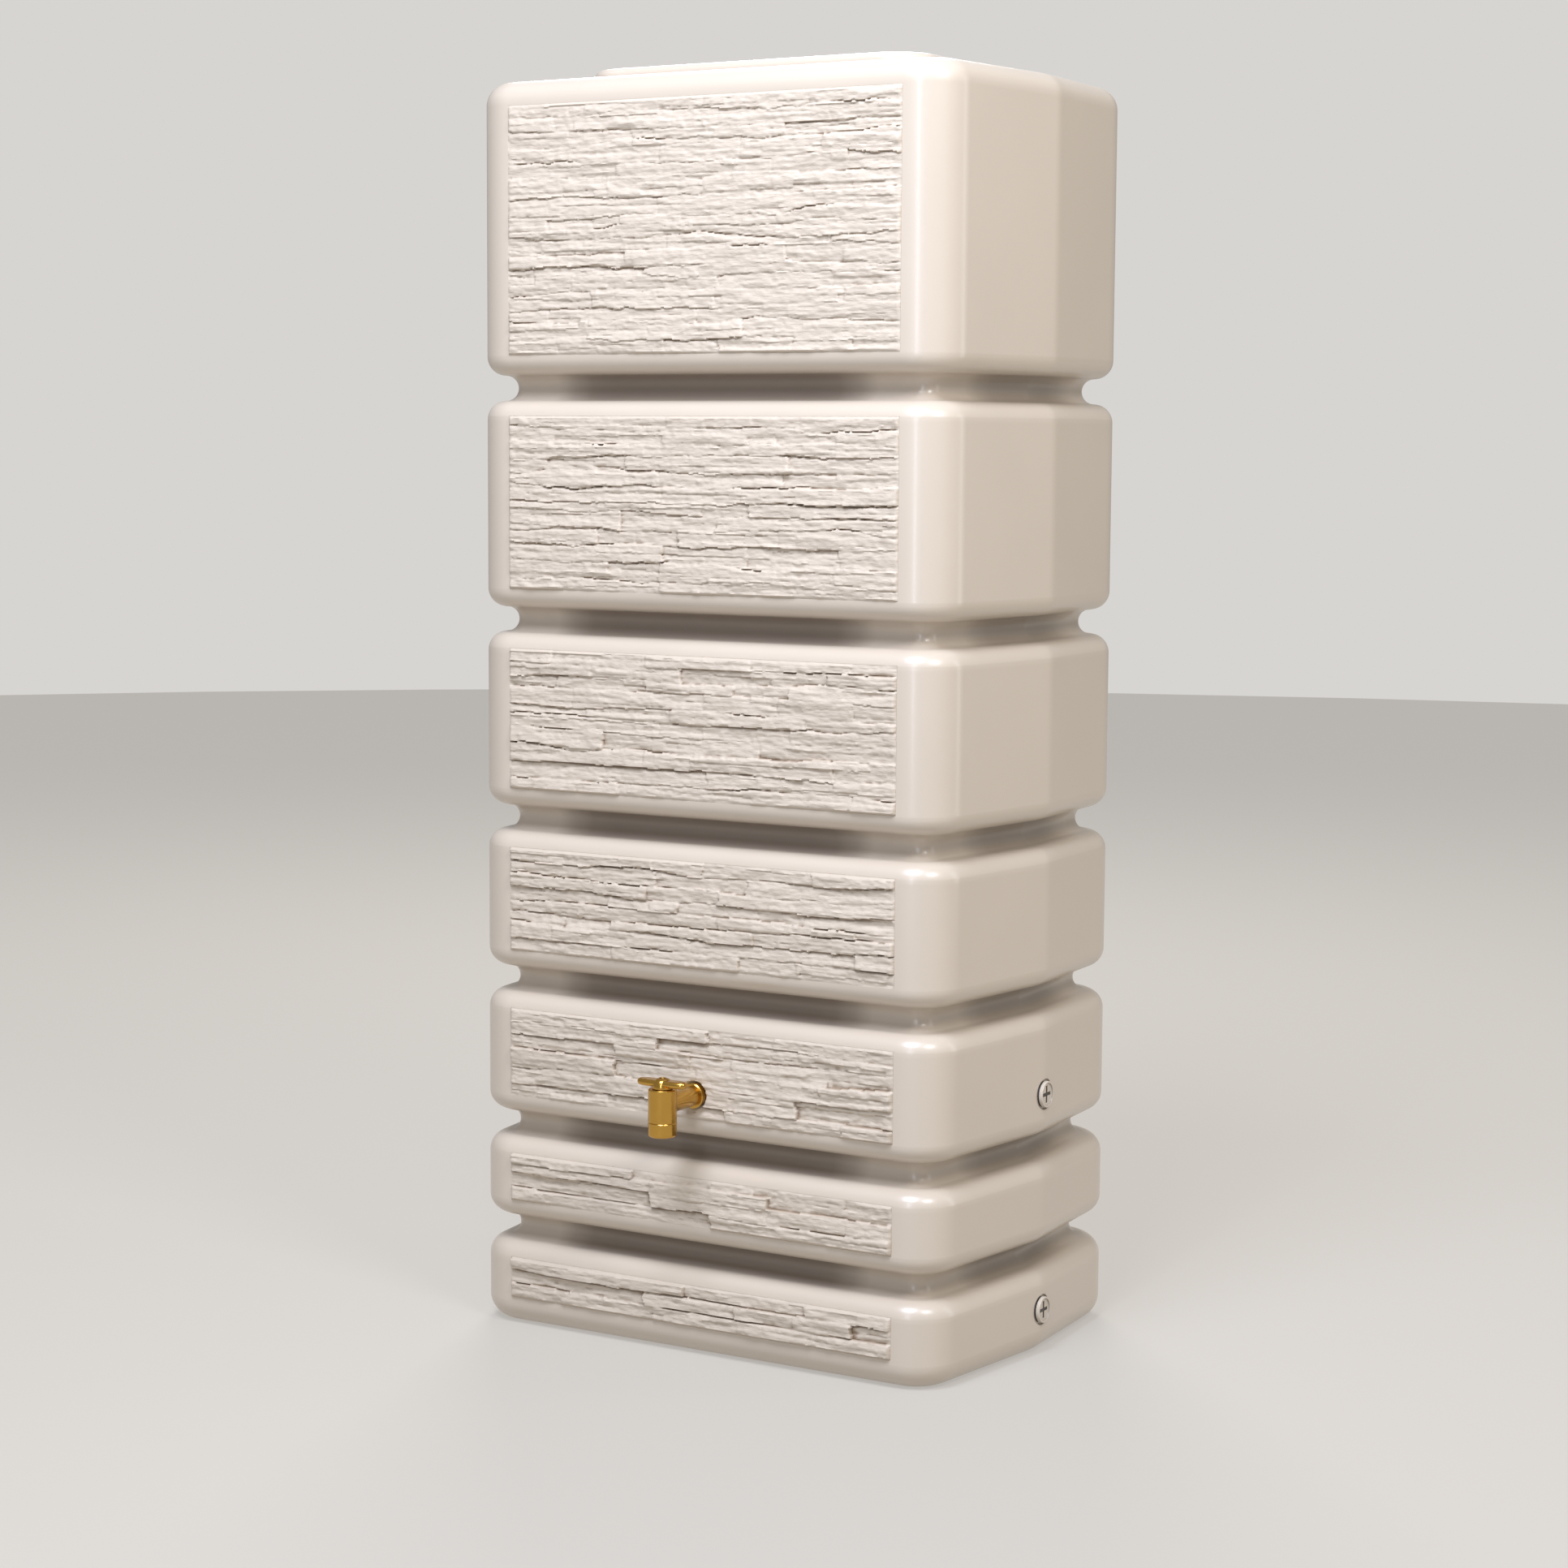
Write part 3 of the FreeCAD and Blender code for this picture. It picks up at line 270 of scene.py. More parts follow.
class Surface:
    """Points and faces of one piece, gathered as whole arrays."""

    def __init__(self):
        self.points = []
        self.faces = []
        self.count = 0

    def add(self, points):
        """Takes an array of points of any grid shape and gives back their numbers in that shape."""
        numbers = np.arange(self.count, self.count + points[..., 0].size).reshape(points.shape[:-1])
        self.points.append(points.reshape(-1, 3))
        self.count += numbers.size
        return numbers

    def skin(self, numbers, closed=False, keep=None):
        """Quads between neighbouring rows and columns; closed joins the last column to the first."""
        after = np.roll(numbers, -1, axis=1) if closed else numbers[:, 1:]
        here = numbers if closed else numbers[:, :-1]
        quads = np.stack([here[:-1], after[:-1], after[1:], here[1:]], axis=-1)
        chosen = quads[keep] if keep is not None else quads.reshape(-1, 4)
        self.faces.append(chosen.reshape(-1, 4))

    def cap(self, loop):
        """One flat face inside a loop of point numbers."""
        self.faces.append(np.asarray(loop).reshape(1, -1))

    def tube(self, points):
        """Closed rings of points, joined one after another, with a cap at each end."""
        rings = self.add(points)
        self.skin(rings, closed=True)
        self.cap(rings[0][::-1])
        self.cap(rings[-1])

    def mesh(self, name):
        """Puts the gathered arrays into a mesh."""
        points = np.concatenate(self.points)
        mesh = bpy.data.meshes.new(name)
        mesh.vertices.add(len(points))
        mesh.vertices.foreach_set("co", points.astype(np.float32).ravel())
        sizes = np.concatenate([np.full(len(faces), faces.shape[1]) for faces in self.faces])
        corners = np.concatenate([faces.ravel() for faces in self.faces])
        mesh.loops.add(len(corners))
        mesh.loops.foreach_set("vertex_index", corners.astype(np.int32))
        mesh.polygons.add(len(sizes))
        mesh.polygons.foreach_set("loop_start", (np.cumsum(sizes) - sizes).astype(np.int32))
        mesh.update(calc_edges=True)
        mesh.validate()
        return mesh


def piece(name, mesh, finish, replaced=(), body="root", crease=40):
    """A finished object at the origin that rides on a body and stands for the named solids."""
    made = bpy.data.objects.new(name, mesh)
    bpy.context.collection.objects.link(made)
    mesh.shade_smooth()
    mesh.set_sharp_from_angle(angle=math.radians(crease))
    mesh.materials.append(finish)
    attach(made, body)
    if replaced:
        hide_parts(*replaced)
    return made


def soften(made):
    """Weighs corner normals by face area, so that flats stay flat beside their rounded edges."""
    weigh = made.modifiers.new("Flat faces", "WEIGHTED_NORMAL")
    weigh.keep_sharp = True
    weigh.weight = 100
    return made


# The plan and the section of the moulding.


def corner_run(before, corner, after, radius, steps, lead):
    """Points and outward normals round one corner of the plan.

    The arc's centre lies one radius inside both sides. A point is the centre plus the radius times its
    normal, whose angle turns evenly from one side's normal to the other's. One more point stands a lead
    before the arc and one after it.
    """
    travel_in = (corner - before) / np.linalg.norm(corner - before)
    travel_out = (after - corner) / np.linalg.norm(after - corner)
    normal_in = np.array([travel_in[1], -travel_in[0]])
    normal_out = np.array([travel_out[1], -travel_out[0]])
    centre = corner - radius * (normal_in + normal_out) / (1 + normal_in @ normal_out)
    first = math.atan2(normal_in[1], normal_in[0])
    turn = math.acos(min(1.0, normal_in @ normal_out))
    angles = first + np.linspace(0, turn, steps + 1)
    normals = np.column_stack([np.cos(angles), np.sin(angles)])
    points = centre + radius * normals
    points = np.vstack([points[0] - lead * travel_in, points, points[-1] + lead * travel_out])
    return points, np.vstack([normals[0], normals, normals[-1]])


def between(run, following, across, axis):
    """Extra points on the flat between two runs, at given values along one axis."""
    start, end = run[0][-1], following[0][0]
    share = (np.asarray(across) - start[axis]) / (end[axis] - start[axis])
    points = start + share[:, None] * (end - start)
    return points, np.repeat(run[1][-1:], len(share), axis=0)


def tank_plan(form):
    """Plan outline of the moulding, anticlockwise from the left end of the front, and its outward normals."""
    front, back = -form.depth / 2, form.depth / 2
    ridge = front + form.ridge_back
    corners = np.array([
        (-form.front_half, front), (form.front_half, front), (form.ridge_half, ridge),
        (form.back_half, back), (-form.back_half, back), (-form.ridge_half, ridge),
    ])
    radii = [form.front_corner, form.front_corner, form.ridge_round,
             form.back_corner, form.back_corner, form.ridge_round]
    steps = 2 * [form.corner_steps, form.corner_steps, RIDGE_STEPS]
    runs = [
        corner_run(corners[i - 1], corners[i], corners[(i + 1) % 6], radii[i], steps[i], LEAD)
        for i in range(6)
    ]
    runs[0][0][-1, 0] = -form.panel_half
    runs[1][0][0, 0] = form.panel_half
    near = np.linspace(PLUG_WINDOW, RIDGE_FLAT, 5)
    front_columns = between(runs[0], runs[1], FRONT_COLUMNS, 0)
    ahead = between(runs[1], runs[2], [*SIDE_COLUMNS, *(ridge - near)], 1)
    behind = between(runs[2], runs[3], [*(ridge + near[::-1]), *-SIDE_COLUMNS[::-1]], 1)
    left_behind = between(runs[4], runs[5], -SIDE_COLUMNS, 1)
    left_ahead = between(runs[5], runs[0], SIDE_COLUMNS[::-1], 1)
    order = [
        runs[0], front_columns, runs[1], ahead, runs[2], behind, *runs[3:5], left_behind, runs[5], left_ahead
    ]
    return np.vstack([run[0] for run in order]), np.vstack([run[1] for run in order])


def band_spans(form):
    """Lower and upper level of each band, from the foot up."""
    heights = np.array(form.bands)
    low = np.concatenate([[0], np.cumsum(heights[:-1] + 2 * form.groove_root)])
    return low, low + heights


def rolls(form, band):
    """Radii of a band's lower and upper rolls."""
    lower = form.foot_roll if band == 0 else form.band_roll
    upper = form.top_roll if band == BAND_COUNT - 1 else form.band_roll
    return lower, upper


def panel_span(form, band):
    """Lower and upper level of a band's stone panel."""
    low, high = band_spans(form)
    foot_inset = form.base_inset if band == 0 else form.panel_foot_inset
    top_inset = form.crown_inset if band == BAND_COUNT - 1 else form.panel_top_inset
    return low[band] + foot_inset, high[band] - top_inset


def plug_levels():
    """Levels of the two side plugs, read from their solids."""
    return [sum(corner.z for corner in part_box(name)) / 2 for name in ("side_plug_lower", "side_plug_upper")]


def turn_points(centre, radius, angles, outward):
    """Rows of the section on an arc: (depth, level, depth normal, level normal).

    A point is the centre plus the radius times (-cos, sin) of its angle on a roll, and times (cos, sin) in a
    groove.
    """
    cos, sin = np.cos(angles), np.sin(angles)
    depth = centre[0] - outward * radius * cos
    level = centre[1] + radius * sin
    return np.column_stack([depth, level, -cos, outward * sin])


def band_section(form):
    """The outer section from the edge of the floor to the edge of the roof, row by row as in turn_points."""
    low, high = band_spans(form)
    quarter = np.linspace(0, np.pi / 2, form.roll_steps + 1)
    rows = []
    for band in range(BAND_COUNT):
        lower, upper = rolls(form, band)
        foot_roll = turn_points((lower, low[band] + lower), lower, quarter - np.pi / 2, 1)
        span = panel_span(form, band)
        start, end = low[band] + lower, high[band] - upper
        levels = {start + LEAD, end - LEAD, *span}
        for plug in plug_levels():
            if low[band] < plug < high[band]:
                levels |= set(np.linspace(plug - PLUG_WINDOW, plug + PLUG_WINDOW, PLUG_ROWS))
        inside = [z for z in sorted(levels) if start + SAME_LEVEL < z < end - SAME_LEVEL]
        wall = np.array([(0, z, -1, 0) for z in inside])
        crossing = math.asin(max(0.0, (span[1] - high[band] + upper) / upper))
        top_roll = turn_points((upper, high[band] - upper), upper, np.unique([*quarter, crossing]), 1)
        rows += [foot_roll, wall, top_roll]
        if band < BAND_COUNT - 1:
            angles = np.linspace(-np.pi / 2, np.pi / 2, 2 * form.roll_steps - 1)[1:-1]
            rows.append(turn_points((upper, high[band] + form.groove_root), form.groove_root, angles, -1))
    return np.vstack(rows)


def rounded_rectangle(half_width, half_depth, radius, angles):
    """Points where rays at given angles meet a rounded rectangle.

    The ray meets a straight side at half size over the cosine or sine. Where that point lies past the
    corner's centre both ways, it meets the corner's circle at b + sqrt(b*b - c), with b the centre's share
    along the ray.
    """
    direction = np.column_stack([np.cos(angles), np.sin(angles)])
    reach = np.minimum(half_width / np.maximum(abs(direction[:, 0]), 1e-9),
                       half_depth / np.maximum(abs(direction[:, 1]), 1e-9))
    centre = np.array([half_width - radius, half_depth - radius])
    along = abs(direction) @ centre
    left = along**2 - centre @ centre + radius**2
    round_reach = along + np.sqrt(np.maximum(left, 0))
    on_side = reach[:, None] * abs(direction)
    in_corner = (on_side > centre).all(axis=1)
    return direction * np.where(in_corner, round_reach, reach)[:, None]


def rings_from(plan, normals, depths, levels):
    """Rings of the plan drawn in by depths, each at its level."""
    flat = plan[None] - np.asarray(depths)[:, None, None] * normals[None]
    level = np.broadcast_to(np.asarray(levels)[:, None, None], (*flat.shape[:2], 1))
    return np.concatenate([flat, level], axis=2)


def window_loop(numbers, first_row, last_row, first_column, last_column):
    """Point numbers round a rectangular window of a grid, anticlockwise seen from outside."""
    rows = np.arange(first_row, last_row + 1)
    columns = np.arange(first_column, last_column + 1)
    return np.concatenate([
        numbers[first_row, columns[:-1]],
        numbers[rows[:-1], last_column],
        numbers[last_row, columns[:0:-1]],
        numbers[rows[:0:-1], first_column],
    ])


def moulded_skin(form):
    """The tank's whole wall: banded outside, roof, collar, inside and floor, with panel pockets and seats."""
    plan, normals = tank_plan(form)
    section = band_section(form)
    depth, level = section[:, 0], section[:, 1]
    top = level[-1]
    roof_under = top - form.wall
    angles = np.arctan2(plan[:, 1], plan[:, 0])
    half_width = (LID_HIGH.x - LID_LOW.x) / 2
    half_depth = (LID_HIGH.y - LID_LOW.y) / 2

    def mouth_ring(inset, height):
        """A ring of the lid's outline drawn in by an inset."""
        ring = rounded_rectangle(half_width - inset, half_depth - inset, form.lid_corner - inset, angles)
        return np.column_stack([ring, np.full(len(ring), height)])[None]

    outer = form.lid_wall + form.lid_play
    inner = outer + form.collar_wall
    crown = top + form.collar_rise
    outside = rings_from(plan, normals, depth, level)
    roof_lead = 2 * MM
    shoulder = rings_from(plan, normals, [form.top_roll + roof_lead], [top])
    collar = [mouth_ring(outer, top), mouth_ring(outer, crown), mouth_ring(inner, crown),
              mouth_ring(inner, roof_under)]
    inside_rows = section[::-1]
    inside = rings_from(plan, normals, inside_rows[:, 0] - form.wall * inside_rows[:, 2],
                        inside_rows[:, 1] - form.wall * inside_rows[:, 3])
    surface = Surface()
    rings = surface.add(np.concatenate([outside, shoulder, *collar, inside]))
    keep = np.ones((len(rings) - 1, rings.shape[1]), bool)
    surface.cap(rings[0][::-1])
    surface.cap(rings[-1])
    points = surface.points[0].reshape(*rings.shape, 3)
    for band in range(BAND_COUNT):
        rows = rows_at(level, panel_span(form, band))
        columns = columns_at(plan, normals, form)
        keep[rows[0]:rows[1], columns[0]:columns[1]] = False
        pocket(surface, points, window_loop(rings, *rows, *columns), form)
    columns = ridge_columns(plan, form)
    side = plan[columns[0]:columns[1] + 1]
    for plug in plug_levels():
        rows = rows_at(level, (plug - PLUG_WINDOW, plug + PLUG_WINDOW))
        keep[rows[0]:rows[1], columns[0]:columns[1]] = False
        plug_seat(surface, points, window_loop(rings, *rows, *columns), side, plug, form)
    surface.skin(rings, closed=True, keep=keep)
    mesh = surface.mesh("moulded_skin")
    # Painted shade deep in the grooves, kept for the material: it grows with depth and is least round the
    # open corners.
    shade = np.zeros(surface.count)
    sunk = ease((depth - SHADE_START) / SHADE_DEPTH) * (abs(level - top / 2) < top / 2 - form.foot_roll)
    shade[:outside[..., 0].size] = (sunk[:, None] * painted_groove_shade(outside[0], form)).ravel()
    store(mesh, "painted_shade", shade)
    return mesh


def painted_groove_shade(around, form):
    """How much painted shade a groove gets at each point of the plan: least round its open corners.

    It is one less nine tenths of n*n, where n falls from 1 to 0 with the distance from the nearest corner's
    axis, and three quarters of that along the sides.
    """
    past = 6 * MM
    start, fade = 50 * MM, 58 * MM
    corner_share, side_share = 0.9, 0.75
    axes = np.array([(form.front_half - form.front_corner + past, form.front_corner - form.depth / 2),
                     (form.back_half - form.back_corner + past, form.depth / 2 - form.back_corner)])
    flat = np.column_stack([abs(around[:, 0]), around[:, 1]])
    distance = np.linalg.norm(flat[:, None] - axes[None], axis=2).min(axis=1)
    near = 1 - np.clip((distance - start) / fade, 0, 1)
    return (1 - corner_share * near**2) * np.where(flat[:, 0] > axes[0, 0], side_share, 1)


def store(mesh, name, values):
    """Keeps one number for every point of a mesh, for its material to read."""
    mesh.attributes.new(name, "FLOAT", "POINT").data.foreach_set("value", values.astype(np.float32))


def rows_at(level, span):
    """The rows of the section that lie at the ends of a span."""
    return tuple(int(np.argmin(abs(level - z))) for z in span)


def columns_at(plan, normals, form):
    """The columns of the plan that lie at the ends of a stone panel."""
    front = np.flatnonzero(normals[:, 1] < -0.9999)
    chosen = [front[np.argmin(abs(plan[front, 0] - x))] for x in (-form.panel_half, form.panel_half)]
    return tuple(int(column) for column in chosen)


def ridge_columns(plan, form):
    """The columns of the plan that lie at the ends of the plugs' windows on the right-hand ridge."""
    ridge = form.ridge_back - form.depth / 2
    right = np.flatnonzero(plan[:, 0] > form.front_half)
    ends = (ridge - PLUG_WINDOW, ridge + PLUG_WINDOW)
    return tuple(int(right[np.argmin(abs(plan[right, 1] - y))]) for y in ends)


def full_turn(steps):
    """The angles of a whole turn in even steps."""
    return np.linspace(0, 2 * np.pi, steps, endpoint=False)


def side_ring(x, reach, angle, y, z):
    """A ring about an axis along X: the points (x, y + reach cos, z + reach sin) of every angle."""
    across, up = reach * np.cos(angle), reach * np.sin(angle)
    return np.column_stack([np.broadcast_to(x, angle.shape), y + across, z + up])


def plug_seat(surface, points, loop, side, plug, form):
    """The round flat seat of a side plug: circles about its axis, from the skin's face down to the seat.

    Each point of the window's loop gives one angle, and a circle's point lies on the ray at that angle.
    """
    ridge = form.ridge_back - form.depth / 2
    floor = form.ridge_half - form.seat_depth
    edge = points.reshape(-1, 3)[loop]
    angle = np.arctan2(edge[:, 2] - plug, edge[:, 1] - ridge)
    radius = form.seat_radius
    circles = []
    for out, sunk in SEAT_EDGE:
        reach = radius + out * MM
        x = np.interp(ridge + reach * np.cos(angle), side[:, 1], side[:, 0]) - sunk * MM
        circles.append(side_ring(x, reach, angle, ridge, plug))
    for reach, level in ((radius, floor + SMALL_EDGE), (radius - SMALL_EDGE, floor)):
        circles.append(side_ring(level, reach, angle, ridge, plug))
    numbers = surface.add(np.stack(circles))
    surface.skin(np.vstack([loop, numbers]), closed=True)
    surface.cap(numbers[-1])


def pocket(surface, points, loop, form):
    """The rounded rim and the floor of a panel's pocket: the window's loop drawn in and pushed back.

    Each step stands inwards by the rim times sin and back by the rim times 1 - cos, then the wall runs
    straight.
    """
    rim = form.pocket_rim
    edge = points.reshape(-1, 3)[loop]
    low, high = edge.min(axis=0), edge.max(axis=0)
    inwards = np.zeros_like(edge)
    for axis in (0, 2):
        inwards[:, axis] += abs(edge[:, axis] - low[axis]) < SAME_LEVEL
        inwards[:, axis] -= abs(edge[:, axis] - high[axis]) < SAME_LEVEL
    steps = []
    for angle in np.linspace(0, np.pi / 2, 5)[1:]:
        step = edge + inwards * rim * math.sin(angle)
        step[:, 1] += rim * (1 - math.cos(angle))
        steps.append(step)
    bottom = steps[-1].copy()
    bottom[:, 1] = form.pocket_depth - form.depth / 2
    numbers = surface.add(np.stack([*steps, bottom]))
    surface.skin(np.vstack([loop, numbers]), closed=True)
    surface.cap(numbers[-1])


def lid_shell(form):
    """The lid: a tray turned upside down with a rolled upper edge, as thick as its wall."""
    half = np.array([LID_HIGH.x, LID_HIGH.y])
    corners = np.array([(-1, -1), (1, -1), (1, 1), (-1, 1)]) * half
    lead = 3 * MM
    rounding = (form.lid_corner, form.corner_steps, lead)
    runs = [corner_run(corners[i - 1], corners[i], corners[(i + 1) % 4], *rounding) for i in range(4)]
    plan = np.vstack([run[0] for run in runs])
    normals = np.vstack([run[1] for run in runs])
    low, high = LID_LOW.z, LID_HIGH.z
    quarter = np.linspace(0, np.pi / 2, form.roll_steps + 1)
    roll, wall = form.lid_roll, form.lid_wall
    inner = turn_points((roll, high - roll), roll - wall, quarter, 1)[::-1, :2]
    rim = 0.6 * MM
    inner_rim = np.column_stack([wall - rim * (1 - np.cos(quarter)), low + rim * (1 - np.sin(quarter))])
    outer_rim = turn_points((rim, low + rim), rim, quarter - np.pi / 2, 1)[:, :2]
    outer = turn_points((roll, high - roll), roll, quarter, 1)[:, :2]
    middle = 14 * MM
    section = np.vstack([(middle, high - wall), inner, inner_rim, outer_rim, outer, (middle, high)])
    surface = Surface()
    surface.tube(rings_from(plan, normals, section[:, 0], section[:, 1]))
    return surface.mesh("lid_shell")


def plug_head(form, name):
    """A side plug about its own axis: a dished face with a cross cut into it, a rolled rim and a shank.

    The face is a height over polar rings: the dish and the cross are smooth steps down from the rim's level.
    """
    low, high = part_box(name)
    across, up = (low.y + high.y) / 2, (low.z + high.z) / 2
    head = (high.y - low.y) / 2
    turn = full_turn(TURNED_STEPS)
    core, circles = 0.02, 64
    reach = np.linspace(core, 1, circles) * (head - form.plug_edge)
    u, v = reach[:, None] * np.cos(turn), reach[:, None] * np.sin(turn)
    soft = 0.4 * MM
    dish = ease((head - form.plug_rim - reach) / (2 * soft))[:, None]
    long, half = form.slot_length / 2, form.slot_width / 2
    slots = [ease((long - abs(a)) / soft) * ease((half - abs(b)) / soft) for a, b in ((u, v), (v, u))]
    cross = np.maximum(*slots)
    sunk = form.plug_dish * dish * (1 - cross) + form.slot_depth * cross
    face = np.stack([high.x - sunk, across + u, up + v], axis=-1)
    quarter = np.linspace(0, np.pi / 2, 6)[1:]
    under = high.x - form.plug_head_height
    edge = form.plug_edge
    outline = [(head - edge * (1 - math.sin(a)), high.x - edge * (1 - math.cos(a))) for a in quarter]
    outline += [(head, under + SMALL_EDGE), (head - SMALL_EDGE, under), (form.plug_thread, under)]
    chamfer = 1 * MM
    outline += [(form.plug_thread, low.x + chamfer), (form.plug_thread - chamfer, low.x)]
    rows = np.stack([side_ring(x, reach, turn, across, up) for reach, x in outline])
    surface = Surface()
    rings = surface.add(np.concatenate([face, rows]))
    surface.skin(rings[::-1], closed=True)
    surface.cap(rings[0])
    surface.cap(rings[-1][::-1])
    mesh = surface.mesh(name + "_head")
    # Painted shade in the cross and in a thin ring inside the rim, kept for the material.
    shade = np.zeros(surface.count)
    shade[:cross.size] = (cross + 2 * dish * (1 - dish) * (1 - cross)).ravel()
    store(mesh, "painted_shade", shade)
    return mesh


def lever(form):
    """The tap's handle: a rounded bar through a hub that is domed and drilled for its screw.

    In plan the bar is |x / L|^3 + |y / W|^3 = 1, and a ring drawn in moves along that curve's normal, which
    is (x |x| / L^3, y |y| / W^3). The hub is a quarter of an ellipse turned about its own axis.
    """
    centre = (HANDLE_LOW + HANDLE_HIGH) / 2
    long, wide = (HANDLE_HIGH.x - HANDLE_LOW.x) / 2, form.lever_width / 2
    low, high = HANDLE_LOW.z, HANDLE_HIGH.z
    turn = full_turn(TURNED_STEPS)
    plan = np.column_stack([np.cos(turn), np.sin(turn)])
    plan *= ((abs(plan) ** 3).sum(axis=1) ** (-1 / 3))[:, None]
    normals = plan * abs(plan) / [long, wide]
    normals /= np.linalg.norm(normals, axis=1, keepdims=True)
    edge = form.lever_edge
    foot = low + form.lever_lift
    quarter = np.linspace(0, np.pi / 2, 9)
    lower = turn_points((edge, foot + edge), edge, quarter - np.pi / 2, 1)
    upper = turn_points((edge, foot + form.lever_plate - edge), edge, quarter, 1)
    section = np.vstack([lower, upper])
    bar = rings_from(plan * [long, wide] + [centre.x, centre.y], normals, section[:, 0], section[:, 1])
    hub, hole = form.lever_hub, form.lever_hole
    shoulder = low + form.hub_step
    outline = [(hub - SMALL_EDGE, low), (hub, low + SMALL_EDGE)]
    outline += [
        (hole + (hub - hole) * math.cos(a), shoulder + (high - shoulder) * math.sin(a)) for a in quarter
    ]
    floor, inner = high - form.hub_step, 0.4 * hole
    outline += [(hole, floor), (inner, floor)]
    dome = np.stack([
        np.column_stack([centre.x + r * np.cos(turn), centre.y + r * np.sin(turn), np.full(len(turn), z)])
        for r, z in outline
    ])
    surface = Surface()
    surface.tube(bar)
    surface.tube(dome)
    return surface.mesh("oval_handle")


# The stones: the same courses as the solid's, carved finely.


def stone_layout(form):
    """Levels, breaks and stands of the stones in every panel, drawn in the solid's own order."""
    chance = random.Random(STONE_SEED)
    panels = []
    for band in range(BAND_COUNT):
        low, high = panel_span(form, band)
        count = max(2, round((high - low) / form.course_height))
        shares = [chance.uniform(*COURSE_SHARES) for _ in range(count)]
        levels = low + np.concatenate([[0], np.cumsum(shares)]) * (high - low) / sum(shares)
        panels.append((levels, [stone_course(form, chance) for _ in range(count)]))
    return panels


def stone_course(form, chance):
    """Where the stones of one course begin and end, and how far each end stands out."""
    breaks = [-form.panel_half]
    while True:
        following = breaks[-1] + form.stone_length * chance.uniform(*STONE_SHARES)
        if following > form.panel_half - form.stone_length * LAST_SHARE:
            break
        breaks.append(following)
    breaks.append(form.panel_half)
    stands = []
    for _ in breaks[1:]:
        stand = chance.uniform(form.stone_low, form.stone_high)
        slant = chance.uniform(-SLANT, SLANT) * MM
        stands.append((max(stand - slant, form.stone_low), max(stand + slant, form.stone_low)))
    return np.array(breaks), np.array(stands)


def lattice_weights(values, cell):
    """How much each lattice line counts for each value: smooth steps between the two nearest lines."""
    place = (values - values.min()) / cell
    index = np.floor(place).astype(int)
    share = place - index
    share = share * share * (3 - 2 * share)
    weights = np.zeros((len(values), index.max() + 2))
    weights[np.arange(len(values)), index] = 1 - share
    weights[np.arange(len(values)), index + 1] += share
    return weights


def lumps(dice, x, z, long, tall):
    """Smooth random lumps between -1 and 1 over a grid, with cells as long and as tall as given."""
    across = lattice_weights(x, long)
    up = lattice_weights(z, tall)
    lattice = dice.uniform(-1, 1, (up.shape[1], across.shape[1]))
    return up @ lattice @ across.T


def layer(dice, x, z, deep, long, tall):
    """Lumps whose depth, length and height are given in millimetres."""
    return deep * MM * lumps(dice, x, z, long * MM, tall * MM)


def wave(dice, x, long):
    """Smooth random wave between -1 and 1 along x."""
    weights = lattice_weights(x, long)
    return weights @ dice.uniform(-1, 1, weights.shape[1])


def ease(value):
    """Smooth step from 0 to 1."""
    share = np.clip(value, 0, 1)
    return share * share * (3 - 2 * share)


def worn(distance, reach):
    """A share that falls from 1 at an edge to 0 at a reach from it, given in millimetres."""
    return 1 - ease(distance / (reach * MM))


def wandering(dice, levels, x, sway):
    """The levels between courses along x: each one waves about its own height, the outer two stand clear."""
    clear = 9 * MM
    edges = np.empty((len(levels), len(x)))
    edges[0], edges[-1] = levels[0] - clear, levels[-1] + clear
    for k in range(1, len(levels) - 1):
        edges[k] = levels[k]
        for share, long in WAVES:
            edges[k] += share * sway * wave(dice, x, long * MM)
    return edges


def by_course(edges, z):
    """For every point of the grid: its course, and how far it lies over and under that course's edges."""
    grid = z[:, None]
    course = (grid[None] > edges[1:-1, None, :]).sum(axis=0)
    column = np.broadcast_to(np.arange(edges.shape[1]), course.shape)
    return course, grid - edges[course, column], edges[course + 1, column] - grid


def flakes(dice, x, z, thick, long, sway):
    """Thin layers split off at random: a value from -1 to 1 for each flake, with worn upper edges."""
    thin, stout = (share * thick for share in FLAKE_THICKNESS)
    short, stretched = (share * long for share in FLAKE_LENGTH)
    levels = z[0] + np.cumsum([0, *dice.uniform(thin, stout, int((z[-1] - z[0]) / thick) + 2)])
    course, _, over = by_course(wandering(dice, levels, x, sway), z)
    value = np.zeros(course.shape)
    jag = x[None] + layer(dice, x, z, *FLAKE_JAG)
    for k in range(len(levels) - 1):
        breaks = x[0] + np.cumsum(dice.uniform(short, stretched, int((x[-1] - x[0]) / long) + 3))
        here = course == k
        value[here] = dice.uniform(-1, 1, len(breaks) + 1)[np.searchsorted(breaks, jag[here])]
    deep, reach = WORN_FLAKE
    return value - deep * worn(over, reach)


